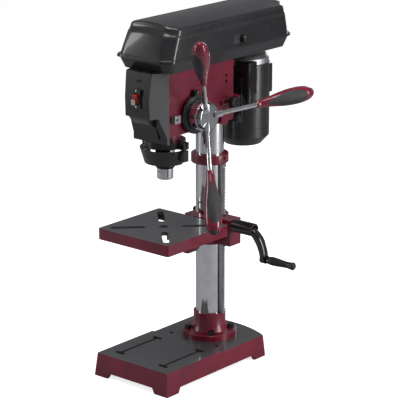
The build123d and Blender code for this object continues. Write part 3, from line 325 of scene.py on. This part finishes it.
def softened(node, width, material, segments=2, crease=32.0, flat=0.6):
    """A merged copy of a CAD node with its edges rounded by width, in metres."""
    source = nodes[node]
    mesh = bpy.data.meshes.new(node + "_form")
    form = bmesh.new()
    form.from_mesh(source.data)
    bmesh.ops.remove_doubles(form, verts=form.verts, dist=2e-6)
    bmesh.ops.dissolve_limit(form, angle_limit=math.radians(flat), verts=form.verts, edges=form.edges)
    for face in form.faces:
        face.smooth = True
    for edge in form.edges:
        if edge.is_manifold and edge.calc_face_angle(0.0) > math.radians(crease):
            edge.smooth = False
    form.to_mesh(mesh)
    form.free()
    piece = bpy.data.objects.new(node + "_form", mesh)
    bpy.context.scene.collection.objects.link(piece)
    if width:
        bevel = piece.modifiers.new("rounded_edges", "BEVEL")
        bevel.width = width
        bevel.segments = segments
        bevel.limit_method = "ANGLE"
        bevel.angle_limit = math.radians(crease)
        bevel.use_clamp_overlap = True
        bevel.harden_normals = True
    return dress(piece, body_of_node[node], material, node)


rounded = {
    "base": (0.0016, maroon_base), "column_flange": (0.0012, maroon), "rack_collar": (0.0006, maroon),
    "head_casting": (0.0020, maroon), "front_cover": (0.0016, panel_black), "switch_body": (0.0008, knob_black),
    "switch_paddle": (0.0010, paddle_red), "spring_housing": (0.0008, guard_black),
    "belt_pan": (0.0012, cover_paint), "cover_knob": (0.0006, knob_black),
    "motor_housing": (0.0010, black_paint), "motor_bell": (0.0010, cast_aluminium),
    "motor_fan_cover": (0.0012, black_paint), "junction_box": (0.0018, black_paint),
    "capacitor_cover": (0.0012, black_paint), "cord_gland": (0.0006, knob_black),
    "motor_plate": (0.0008, black_paint), "tension_knob": (0.0008, knob_black),
    "guard_ring": (0.0010, guard_black), "guard_shield": (0.0012, guard_black),
    "table": (0.0010, maroon_table), "table_bracket": (0.0018, maroon), "clamp_lever": (0.0008, black_oxide),
    "crank_arm": (0.0014, arm_paint), "crank_grip": (0.0010, knob_black),
    "depth_ring": (0.0005, dial_black), "depth_pointer": (0.0006, plain_steel),
    "depth_lock_knob": (0.0006, knob_black), "feed_hub": (0.0008, chrome),
    "chuck_body": (0.0005, chrome), "chuck_sleeve": (0.0004, black_oxide),
    "flange_bolts": (0.0005, black_oxide), "tilt_bolt": (0.0005, black_oxide),
}
for node, (width, material) in rounded.items():
    softened(node, width, material)
print(len(rounded), "rounded copies")

# %% [markdown]
# The remaining nodes already have their true shape: shafts, bearings, the column, pulleys and belts. They stay as
# they are and only get a better finish through their material slots.

# %% Finishes for the nodes that stay
kept = {
    "column": column_chrome, "rack": plain_steel, "set_screws": black_oxide, "quill": turned_z, "spindle": turned_z,
    "quill_bearings": turned_z, "pulley_bearings": turned_z, "pinion_shaft": turned_x, "lever_rods": chrome,
    "chuck_jaw_1": plain_steel, "chuck_jaw_2": plain_steel, "chuck_jaw_3": plain_steel,
    "return_spring": plain_steel, "spring_nuts": plain_steel, "spindle_pulley": cast_aluminium,
    "idler_pulley": cast_aluminium, "motor_pulley": cast_aluminium, "idler_pin": turned_z,
    "front_belt": belt_rubber, "rear_belt": belt_rubber, "motor_rotor": turned_z, "motor_stator": lamination,
    "slide_rods": plain_steel, "lift_gear": plain_steel, "crank_shaft": turned_x, "lever_grips": grip_maroon,
}
for node, material in kept.items():
    nodes[node].data.materials.clear()
    nodes[node].data.materials.append(material)
print(len(kept), "nodes keep their mesh,", set(nodes) - set(kept) - set(rounded), "left")

# %% [markdown]
# New pieces are surfaces worked out as whole arrays. A turned piece is a profile of distances along an axis and
# radii about it; a ribbon is a section carried along a path. Both give a grid of points, and one function makes a
# closed mesh from any such grid.

# %% Surfaces from grids
def unit(v):
    v = np.asarray(v, float)
    return v / np.linalg.norm(v)


def side_axes(axis, hint=(0.0, 0.0, 1.0)):
    """Two unit vectors square to an axis and to each other, the first as near to the hint as it can be."""
    axis = unit(axis)
    hint = np.asarray(hint, float)
    if abs(axis @ hint) > 0.95:
        hint = np.array((1.0, 0.0, 0.0))
    first = unit(hint - axis * (axis @ hint))
    return first, np.cross(axis, first)


def grid_piece(name, points, around=True, ends=True):
    """A mesh from points[row, column]. around joins the last column to the first, ends closes both end rows."""
    rows, columns = points.shape[:2]
    index = np.arange(rows * columns).reshape(rows, columns)
    following = np.roll(index, -1, axis=1) if around else index[:, 1:]
    here = index if around else index[:, :-1]
    quads = np.stack((here[:-1], following[:-1], following[1:], here[1:]), axis=-1).reshape(-1, 4)
    faces = quads.tolist()
    if ends:
        faces += [index[0, ::-1].tolist(), index[-1].tolist()]
    mesh = bpy.data.meshes.new(name)
    mesh.from_pydata(points.reshape(-1, 3).tolist(), [], faces)
    form = bmesh.new()
    form.from_mesh(mesh)
    bmesh.ops.remove_doubles(form, verts=form.verts, dist=1e-6)
    bmesh.ops.dissolve_degenerate(form, dist=1e-7, edges=form.edges)
    bmesh.ops.recalc_face_normals(form, faces=form.faces)
    for face in form.faces:
        face.smooth = True
    for edge in form.edges:
        if edge.is_manifold and edge.calc_face_angle(0.0) > math.radians(35):
            edge.smooth = False
    form.to_mesh(mesh)
    form.free()
    piece = bpy.data.objects.new(name, mesh)
    bpy.context.scene.collection.objects.link(piece)
    return piece


def turned(name, profile, origin, axis, count=64, hint=(0.0, 0.0, 1.0)):
    """Point = origin + s * axis + r * (cos a * first + sin a * second), for each (s, r) of the profile."""
    profile = np.asarray(profile, float)
    first, second = side_axes(axis, hint)
    a = np.linspace(0, 2 * np.pi, count, endpoint=False)
    ring = np.cos(a)[:, None] * first + np.sin(a)[:, None] * second
    points = (np.asarray(origin, float) + profile[:, None, :1] * unit(axis) + profile[:, None, 1:] * ring[None])
    return grid_piece(name, points)


def smooth_profile(knots, count=40):
    """Cubic Hermite curve through (s, r) knots, with each slope taken from its neighbours."""
    knots = np.asarray(knots, float)
    t = np.concatenate(([0.0], np.cumsum(np.linalg.norm(np.diff(knots, axis=0), axis=1))))
    slope = np.gradient(knots, t, axis=0)
    u = np.linspace(0, t[-1], count)
    k = np.clip(np.searchsorted(t, u, side="right") - 1, 0, len(t) - 2)
    h = (t[k + 1] - t[k])[:, None]
    w = ((u - t[k])[:, None]) / h
    return ((2 * w ** 3 - 3 * w ** 2 + 1) * knots[k] + (w ** 3 - 2 * w ** 2 + w) * h * slope[k]
            + (3 * w ** 2 - 2 * w ** 3) * knots[k + 1] + (w ** 3 - w ** 2) * h * slope[k + 1])


def swept(name, path, section, hint=(0.0, 0.0, 1.0)):
    """A closed section (offsets along two side axes) carried along a path, square to its local direction."""
    path = np.asarray(path, float)
    section = np.asarray(section, float)
    tangent = np.gradient(path, axis=0)
    tangent /= np.linalg.norm(tangent, axis=1)[:, None]
    first = np.asarray(hint, float) - tangent * (tangent @ np.asarray(hint, float))[:, None]
    first /= np.linalg.norm(first, axis=1)[:, None]
    second = np.cross(tangent, first)
    if section.ndim == 2:
        section = np.broadcast_to(section, (len(path),) + section.shape)
    points = (path[:, None] + section[..., :1] * first[:, None] + section[..., 1:] * second[:, None])
    return grid_piece(name, points)


def oval(half_wide, half_high, count=32, power=2.0):
    """A superellipse: x = a * sign(cos) * |cos| to 2/power, and the same with sin."""
    a = np.linspace(0, 2 * np.pi, count, endpoint=False)
    c, s = np.cos(a), np.sin(a)
    return np.stack((half_wide * np.sign(c) * np.abs(c) ** (2 / power),
                     half_high * np.sign(s) * np.abs(s) ** (2 / power)), axis=1)


print("surface helpers ready")

# %% [markdown]
# The feed levers end in moulded grips: a maroon body, thin at the rod and fat near the end, with two soft rubber
# pads set into it and a dark cap on the tip. The body is a turned profile. A pad is a patch of the same profile,
# raised a little, whose outline is an oval in length and angle, so its edge sinks back into the body.

# %% Lever grips
joint_at = {j["name"]: j for j in frame["record"]["behaviour"]["joints"]}
feed_at = np.array(joint_at["feed_turn"]["pos_m"])
LEVER_ROOT_X = 0.100
LEVER_TILT = math.radians(23.2)
LEVER_FIRST = math.radians(126.5)
GRIP_FROM = 0.141
lever_hub = np.array((LEVER_ROOT_X, feed_at[1], feed_at[2]))
PAD_TURN = [math.radians(d) for d in (96.0, -40.0, 8.0)]


def lever_axis(i):
    """The i-th lever's direction: out along X by the tilt, and round the feed axis by its angle."""
    a = LEVER_FIRST + i * 2 * math.pi / 3
    return np.array((math.sin(LEVER_TILT), math.cos(LEVER_TILT) * math.cos(a), math.cos(LEVER_TILT) * math.sin(a)))


grip_curve = smooth_profile([(0.0, 0.0088), (0.012, 0.0100), (0.037, 0.0134), (0.070, 0.0188), (0.104, 0.0216),
                             (0.129, 0.0206), (0.148, 0.0164), (0.159, 0.0104)], 48)


def grip_radius(s):
    return np.interp(s, grip_curve[:, 0], grip_curve[:, 1])


def grip_pad(name, origin, axis, facing, span=(0.022, 0.142), half_angle=1.02, lift=0.0006):
    """s runs along the grip and a across it; r = grip radius + lift * (1 - q^6), where q is 1 on the oval's edge."""
    first, second = side_axes(axis, facing)
    ring = np.linspace(0, 1, 14)
    turn = np.linspace(0, 2 * np.pi, 56, endpoint=False)
    q, t = np.meshgrid(ring, turn, indexing="ij")
    middle_s, half_s = (span[0] + span[1]) / 2, (span[1] - span[0]) / 2
    s = middle_s + half_s * q * np.cos(t)
    widen = 1.0 + 0.18 * np.cos(t)
    a = half_angle * q * np.sin(t) * widen
    r = grip_radius(s) + lift * (1 - q ** 6) - 0.0003 * q ** 12
    skin = (origin + s[..., None] * axis
            + r[..., None] * (np.cos(a)[..., None] * first + np.sin(a)[..., None] * second))
    under = origin + s[..., None] * axis + (r * 0.9 - 0.001)[..., None] * (
        np.cos(a)[..., None] * first + np.sin(a)[..., None] * second)
    return grid_piece(name, np.concatenate((skin, under[::-1])), ends=False)


neck = [(0.0, 0.0), (0.0, 0.0088)]
body_curve = [tuple(k) for k in grip_curve if 0.0003 < k[0] < 0.1535]
groove = [(0.1536, float(grip_radius(0.1536))), (0.1540, float(grip_radius(0.1536)) - 0.0007)]
grip_profile = neck + [(0.0022, 0.0098), (0.004, 0.0098), (0.0052, 0.0092)] + [k for k in body_curve if k[0] > 0.007]
grip_profile += groove + [(0.1542, 0.0)]
cap_profile = [(0.1541, 0.0), (0.1541, 0.0124), (0.1555, 0.0122), (0.1575, 0.0108), (0.1594, 0.0086),
               (0.1612, 0.0058), (0.1628, 0.0030), (0.1638, 0.0)]
for i in range(3):
    axis = lever_axis(i)
    start = lever_hub + GRIP_FROM * axis
    body = turned(f"lever_grip_{i + 1}", grip_profile, start, axis)
    cap = turned(f"lever_grip_cap_{i + 1}", cap_profile, start, axis)
    if i == 0:
        dress(body, "feed", grip_maroon, "lever_grips")
    else:
        dress(body, "feed", grip_maroon)
    dress(cap, "feed", grip_maroon if i == 0 else grip_rubber)
    outward = unit(np.cross(axis, np.cross((1.0, 0.0, 0.0), axis)))
    facing = math.cos(PAD_TURN[i]) * outward + math.sin(PAD_TURN[i]) * np.cross(outward, axis)
    for side in (1.0, -1.0):
        pad = grip_pad(f"lever_grip_pad_{i + 1}_{'a' if side > 0 else 'b'}", start, axis, side * facing)
        dress(pad, "feed", grip_rubber)
print("3 grips with caps and", 6, "pads")

# %% [markdown]
# The levers screw into a chromed hub. On the real machine it is turned from bar: a wide rear band, a fine groove, a
# slightly smaller front band, and a shallow recess in its end that holds a grey-blue cap. Short bosses lead the rods
# in at their tilt, so each boss is turned about its own lever.

# %% Feed hub
hub_low, hub_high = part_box("feed_hub")
hub_face = hub_high[0]
hub_back = hub_low[0]
hub_start = (hub_back, feed_at[1], feed_at[2])
hub_profile = [(0.0, 0.0), (0.0, 0.0364), (0.0012, 0.0378), (0.0200, 0.0378), (0.0208, 0.0372), (0.0214, 0.0352),
               (0.0226, 0.0346), (0.0234, 0.0352), (0.0360, 0.0356), (0.0374, 0.0350), (0.0380, 0.0336),
               (0.0380, 0.0322), (0.0368, 0.0314), (0.0368, 0.0)]
hub = turned("feed_hub_form", hub_profile, hub_start, (1, 0, 0), 96)
dress(hub, "feed", hub_chrome, "feed_hub")
cap_rise = [(0.0366, 0.0), (0.0366, 0.0308), (0.0373, 0.0306), (0.0376, 0.0298), (0.0376, 0.0)]
dress(turned("feed_hub_cap", cap_rise, hub_start, (1, 0, 0), 72), "feed", hub_grey)
for i in range(3):
    boss = [(0.020, 0.0), (0.020, 0.0088), (0.0415, 0.0088), (0.0425, 0.0078), (0.0425, 0.0)]
    dress(turned(f"lever_boss_{i + 1}", boss, lever_hub, lever_axis(i), 40), "feed", hub_chrome)
print("hub from", round(hub_back, 4), "to", round(hub_face, 4))

# %% [markdown]
# The stop ring between hub and head carries the depth scale. Its marks are thin strokes of white ink, so they are
# tiny flat bars standing a few hundredths of a millimetre proud, all in one mesh: every fifth is longer. The real
# ring also has numerals, which are left out.

# %% Depth scale
ring_low, ring_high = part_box("depth_ring")
ring_radius = (ring_high[1] - ring_low[1]) / 2


def bars_mesh(name, centres, along_vectors, across_vectors, up_vectors):
    """A box for each row: the centre plus and minus three half-side vectors, as one mesh."""
    signs = np.array([(x, y, z) for x in (-1, 1) for y in (-1, 1) for z in (-1, 1)], float)
    corners = (centres[:, None] + signs[None, :, :1] * along_vectors[:, None]
               + signs[None, :, 1:2] * across_vectors[:, None] + signs[None, :, 2:] * up_vectors[:, None])
    box_faces = np.array([(0, 1, 3, 2), (4, 6, 7, 5), (0, 4, 5, 1), (2, 3, 7, 6), (0, 2, 6, 4), (1, 5, 7, 3)])
    faces = (np.arange(len(centres))[:, None, None] * 8 + box_faces[None]).reshape(-1, 4)
    mesh = bpy.data.meshes.new(name)
    mesh.from_pydata(corners.reshape(-1, 3).tolist(), [], faces.tolist())
    form = bmesh.new()
    form.from_mesh(mesh)
    bmesh.ops.recalc_face_normals(form, faces=form.faces)
    form.to_mesh(mesh)
    form.free()
    piece = bpy.data.objects.new(name, mesh)
    bpy.context.scene.collection.objects.link(piece)
    return piece


mark_turn = np.radians(np.arange(20, 341, 4.0) + 90)
mark_out = np.stack((np.zeros_like(mark_turn), np.cos(mark_turn), np.sin(mark_turn)), axis=1)
mark_round = np.stack((np.zeros_like(mark_turn), -np.sin(mark_turn), np.cos(mark_turn)), axis=1)
mark_half = np.where(np.arange(len(mark_turn)) % 5 == 0, 0.0030, 0.0018)
mark_centre = np.stack((np.full_like(mark_turn, ring_high[0] - 0.0018) - mark_half, np.zeros_like(mark_turn),
                        np.zeros_like(mark_turn)), axis=1)
mark_centre += np.array((0, feed_at[1], feed_at[2])) + mark_out * ring_radius
marks = bars_mesh("depth_scale_marks", mark_centre, np.outer(mark_half, (1.0, 0, 0)), mark_round * 0.00022,
                  mark_out * 0.00006)
dress(marks, "depth_stop", white_ink)
print(len(mark_turn), "scale marks")

# %% [markdown]
# The crank arm is a flat bar bent in a smooth S from the worm shaft's hub out to the grip, and thicker at both
# ends. A superellipse section carried along a spline path gives that bar, wider where the profile says so, and the
# hub and eye are turned pieces round the two shafts.

# %% Crank
crank_at = np.array(joint_at["crank_turn"]["pos_m"])
grip_axis = np.array(joint_at["crank_handle_spin"]["pos_m"])
arm_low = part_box("crank_arm")[0]
hub_profile = [(0.0, 0.0), (0.0, 0.0160), (0.0010, 0.0170), (0.0600, 0.0170), (0.0640, 0.0158), (0.0658, 0.0134),
               (0.0660, 0.0120), (0.0660, 0.0062), (0.0652, 0.0055), (0.0520, 0.0052), (0.0520, 0.0)]
crank_hub = turned("crank_hub", hub_profile, (arm_low[0], crank_at[1], crank_at[2]), (1, 0, 0), 56)
dress(crank_hub, "crank", arm_paint, "crank_arm")
ARM_KNOTS = np.array([(0.1440, 0.3755), (0.1600, 0.3730), (0.1760, 0.3600), (0.1870, 0.3400), (0.1925, 0.3180),
                      (0.1935, 0.3060)])
arm_line = smooth_profile(ARM_KNOTS, 40)
arm_path = np.stack((arm_line[:, 0], np.full(len(arm_line), crank_at[1]), arm_line[:, 1]), axis=1)
share = np.linspace(0, 1, len(arm_path))
wide = 0.0098 + 0.0020 * np.cos(share * np.pi * 2) ** 2
thick = 0.0058 + 0.0016 * (1 - share)
arm_sections = np.stack([oval(w, t, 32, 2.8) for w, t in zip(wide, thick)])
arm = swept("crank_arm_bar", arm_path, arm_sections, (0, 1, 0))
dress(arm, "crank", arm_paint)
eye_profile = [(0.0, 0.0), (0.0, 0.0100), (0.0010, 0.0110), (0.0140, 0.0110), (0.0150, 0.0100), (0.0150, 0.0)]
EYE_X, PIN_X = 0.1860, 0.2010
eye = turned("crank_eye", eye_profile, (EYE_X, grip_axis[1], grip_axis[2]), (1, 0, 0), 48)
dress(eye, "crank", arm_paint)
pin = turned("crank_pin", [(0.0, 0.0), (0.0, 0.0039), (0.0810, 0.0039), (0.0810, 0.0)],
             (PIN_X, grip_axis[1], grip_axis[2]), (1, 0, 0), 32)
dress(pin, "crank", plain_steel)
print("crank arm bows from", arm_path[0].round(4), "to", arm_path[-1].round(4))

# %% [markdown]
# Small screws hold the switch panel, the guard and the covers; the two on the front panel and the two on the switch
# are made here. Each is a domed head with a dished socket in it, a turned profile of a few millimetres, and a list
# gives where each one sits and which way it faces.

# %% Screws
def screw(name, place, facing, radius, body, material, height=0.45):
    """A domed head: the rim rises to radius * height, then dips to a round socket a third of the radius wide."""
    r, h = radius, radius * height
    profile = [(-0.0006, 0.0), (-0.0006, r), (h * 0.35, r), (h * 0.72, r * 0.86), (h * 0.96, r * 0.55),
               (h, r * 0.36), (h * 0.35, r * 0.30), (h * 0.3, 0.0)]
    return dress(turned(name, profile, place, facing, 24), body, material)


STAND = body_of_node["front_cover"]
panel_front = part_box("front_cover")[0][1]
for i, (x, z) in enumerate([(0.0, 0.7850), (0.0, 0.7120)]):
    screw(f"panel_screw_{i + 1}", (x, panel_front + 0.0012, z), (0, -1, 0), 0.0030, STAND, black_oxide)
switch_low, switch_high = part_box("switch_body")
switch_mid = (switch_low[2] + switch_high[2]) / 2
for i, z in enumerate((switch_mid + 0.0200, switch_mid - 0.0200)):
    screw(f"switch_screw_{i + 1}", (0.0, switch_low[1], z), (0, -1, 0), 0.0026, STAND, chrome)
print("4 screws")

# %% [markdown]
# The belt guard's lid is one pressed shell. Its walls lean in from a flanged rim, each corner is a narrow flat with
# rounded edges, a shallow step runs under the shoulder, and the top is gently crowned from side to side. The rows
# of the surface follow one plan outline from the rim up the wall, round the shoulder and in to the ridge.

# %% Lid of the belt guard
lid_low, lid_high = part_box("belt_cover")
LID_RIM = 0.004
lid_half = lid_high[0] - LID_RIM
lid_ends = (lid_low[1] + LID_RIM, lid_high[1] - LID_RIM)
LID_CROWN = 0.0128
lid_edge = lid_high[2] - 0.0002 - LID_CROWN
LID_LEANS = (0.006, 0.031, 0.009)


def plan_outline(half_wide, front, rear, cut, soft):
    """A rectangle with its corners cut by a flat, every bend a quadratic curve: (1-t)^2 A + 2t(1-t) B + t^2 C."""
    w, c = half_wide, cut
    bends = np.array([(w, front + c), (w, rear - c), (w - c, rear), (-w + c, rear),
                      (-w, rear - c), (-w, front + c), (-w + c, front), (w - c, front)])
    before = np.roll(bends, 1, axis=0) - bends
    after = np.roll(bends, -1, axis=0) - bends
    size_before = np.maximum(np.linalg.norm(before, axis=1), 1e-9)[:, None]
    size_after = np.maximum(np.linalg.norm(after, axis=1), 1e-9)[:, None]
    start = bends + before / size_before * np.minimum(soft, size_before * 0.45)
    end = bends + after / size_after * np.minimum(soft, size_after * 0.45)
    t = np.linspace(0, 1, 7)[:, None, None]
    curves = (1 - t) ** 2 * start + 2 * t * (1 - t) * bends + t ** 2 * end
    share = np.linspace(0, 1, 14)[1:-1, None, None]
    sides = end + share * (np.roll(start, -1, axis=0) - end)
    return np.concatenate((curves, sides)).transpose(1, 0, 2).reshape(-1, 2)


def lid_row(up, inset, drop=0.0, shrink=1.0):
    """One row: up is the share of the wall's height, inset is added to its lean, drop is down from the crown."""
    side, front, rear = (lean * up for lean in LID_LEANS)
    w = (lid_half - side - inset) * shrink
    y0 = lid_ends[0] + front + inset + (1 - shrink) * 0.06
    y1 = lid_ends[1] - rear - inset - (1 - shrink) * 0.06
    flat = plan_outline(w, y0, y1, 0.021 * max(shrink, 0.02), 0.007)
    x, y = flat[:, 0], flat[:, 1]
    bow = 1 - np.clip(x / lid_half, -1, 1) ** 2
    top = lid_edge + LID_CROWN * bow - drop
    height = lid_low[2] + 0.0003 + up * (top - lid_low[2] - 0.0003)
    near_front = np.clip((y0 + 0.002 - y) / 0.002, 0, 1)
    y = y - near_front * bow * 0.0045 * np.sin(np.pi * min(up, 1.0))
    return np.stack((x * (0.0 if shrink == 0 else 1.0), y, height), axis=1)


SHOULDER = 0.0075
rows = [lid_row(0.0, -LID_RIM + 0.0003), lid_row(0.03, -LID_RIM), lid_row(0.050, -LID_RIM + 0.0004)]
rows += [lid_row(0.058, -0.0012), lid_row(0.066, 0.0)]
rows += [lid_row(u, 0.0, SHOULDER * u) for u in (0.12, 0.25, 0.4, 0.55, 0.7, 0.82)]
rows += [lid_row(0.830, 0.0004, SHOULDER * 0.83), lid_row(0.842, 0.0012, SHOULDER * 0.84)]
rows += [lid_row(0.93, 0.0013, SHOULDER * 0.93)]
rows += [lid_row(1.0, 0.0013 + SHOULDER * (1 - math.cos(a)), SHOULDER * (1 - math.sin(a)))
         for a in np.linspace(0, math.pi / 2, 8)]
rows += [lid_row(1.0, 0.0013 + SHOULDER, 0.0, k) for k in (0.9, 0.75, 0.58, 0.4, 0.22, 0.08, 0.0)]
lid = grid_piece("belt_lid_shell", np.stack(rows), ends=False)
shell = lid.modifiers.new("sheet", "SOLIDIFY")
shell.thickness = 0.0022
shell.offset = -1.0
dress(lid, body_of_node["belt_cover"], cover_paint, "belt_cover")
print("lid rows", len(rows), "top", round(max(r[:, 2].max() for r in rows), 4), "of", round(lid_high[2], 4))

# %% [markdown]
# Small things ride on the covers: a thin black plate on the side of the lid round its knob, which is painted shade
# standing in for the shadow in the lid's shallow rectangular recess, the ivory key in the safety switch, and the lid
# of the terminal box. Boxes with rounded edges make all three.

# %% Small covers and plates
def rounded_box(name, low, high, radius, body, material, segments=3):
    """A box between two corners, its edges rounded by a Bevel modifier."""
    low, high = np.asarray(low, float), np.asarray(high, float)
    half = (high - low) / 2
    piece = bars_mesh(name, ((low + high) / 2)[None], np.array([[half[0], 0, 0]]), np.array([[0, half[1], 0]]),
                      np.array([[0, 0, half[2]]]))
    for face in piece.data.polygons:
        face.use_smooth = True
    bevel = piece.modifiers.new("rounded_edges", "BEVEL")
    bevel.width = radius
    bevel.segments = segments
    bevel.harden_normals = True
    return dress(piece, body, material)


knob_low, knob_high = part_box("cover_knob")
wall_x = lid_half - LID_LEANS[0] * 0.25
LID = body_of_node["belt_cover"]
# Painted shade: this plate stands for the shadow in the recess round the lid's knob.
rounded_box("lid_recess_shade_plate", (wall_x - 0.004, knob_low[1] - 0.024, knob_low[2] - 0.001),
            (wall_x + 0.0008, knob_low[1] - 0.001, knob_high[2] + 0.001), 0.0007, LID, panel_black)
paddle_low, paddle_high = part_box("switch_paddle")
paddle_mid = (paddle_low[2] + paddle_high[2]) / 2
rounded_box("safety_key", (paddle_low[0] - 0.0015, paddle_low[1] - 0.0010, paddle_low[2] - 0.004),
            (paddle_high[0] - 0.004, paddle_low[1] + 0.0015, paddle_mid - 0.001), 0.0010, "switch_paddle", ivory)
case_low, case_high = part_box("junction_box")
rounded_box("terminal_lid", (case_high[0] - 0.001, case_low[1] + 0.003, case_low[2] + 0.003),
            (case_high[0] + 0.0012, case_high[1] - 0.004, case_high[2] - 0.003), 0.001,
            body_of_node["junction_box"], arm_paint)
print("3 small plates")

# %% [markdown]
# The room is a pale floor under soft studio light. The world away from the lamps is dim, so chrome and gloss show
# the tall soft boxes at the left, right and rear as long upright bands with dark gaps between them. The box above
# lights the faces that point up. The floor is white and glows a little for the camera only. Reflected and bounced
# light meets a darker floor with no glow, so it casts no haze on the gloss and chrome.

# %% Floor, light and camera
floor_mesh = bpy.data.meshes.new("studio_floor")
floor_mesh.from_pydata([(-30, -30, 0), (30, -30, 0), (30, 30, 0), (-30, 30, 0)], [], [(0, 1, 2, 3)])
floor = bpy.data.objects.new("studio_floor", floor_mesh)
FLOOR_GAP = 0.0004
floor.location = (0, 0, cad_box[0][2] - FLOOR_GAP)
bpy.context.scene.collection.objects.link(floor)
floor_finish, floor_flow, floor_shader = start_finish("pale_floor")[:3]
floor_seen = floor_flow.add("ShaderNodeLightPath", out=0)
floor_flow.put(floor_shader.inputs["Base Color"], floor_seen.mix((0.36, 0.36, 0.37, 1.0), (0.90, 0.90, 0.90, 1.0)))
floor_shader.inputs["Roughness"].default_value = 0.9
floor_flow.put(floor_shader.inputs["Emission Color"], floor_seen.mix((0.0, 0.0, 0.0, 1.0), (1.0, 1.0, 1.0, 1.0)))
floor_shader.inputs["Emission Strength"].default_value = 0.78
floor_mesh.materials.append(floor_finish)


def studio_light(name, place, target, size, power):
    lamp = bpy.data.lights.new(name, "AREA")
    lamp.shape = "RECTANGLE"
    lamp.size, lamp.size_y = size
    lamp.energy = power
    holder = bpy.data.objects.new(name, lamp)
    holder.location = place
    holder.rotation_euler = (Vector(target) - Vector(place)).to_track_quat("-Z", "Y").to_euler()
    bpy.context.scene.collection.objects.link(holder)
    return holder


middle = (0.0, 0.0, 0.5)
studio_light("soft_top", (0.1, -0.5, 2.7), middle, (1.5, 1.5), 30.0)
studio_light("soft_left", (-1.9, -1.6, 1.1), middle, (0.40, 2.0), 14.0)
studio_light("soft_right", (2.45, 0.80, 1.1), middle, (0.85, 2.2), 44.0)
studio_light("edge_rear", (-0.9, 2.6, 1.1), middle, (0.40, 2.0), 12.0)

world = bpy.data.worlds.new("studio_world")
bpy.context.scene.world = world
world.use_nodes = True
sky = Flow(world.node_tree)
backdrop = world.node_tree.nodes["Background"]
seen = sky.add("ShaderNodeLightPath", out=0)
sky.put(backdrop.inputs["Color"], seen.mix((0.20, 0.20, 0.21, 1.0), (1.0, 1.0, 1.0, 1.0)))
backdrop.inputs["Strength"].default_value = 1.0

azimuth, elevation, distance = math.radians(40.35), math.radians(16.4), 5.0185
away = Vector((math.sin(azimuth) * math.cos(elevation), -math.cos(azimuth) * math.cos(elevation),
               math.sin(elevation)))
across = Vector((math.cos(azimuth), math.sin(azimuth), 0.0))
aim = Vector((0, 0, 0.4219)) - across * 0.0252
lens = bpy.data.cameras.new("studio_camera")
lens.lens = 174.6
lens.sensor_width = 36.0
camera = bpy.data.objects.new("studio_camera", lens)
camera.location = aim + away * distance
camera.rotation_euler = (-away).to_track_quat("-Z", "Y").to_euler()
bpy.context.scene.collection.objects.link(camera)
bpy.context.scene.camera = camera
bpy.context.scene.view_settings.view_transform = "Standard"
print("studio ready")
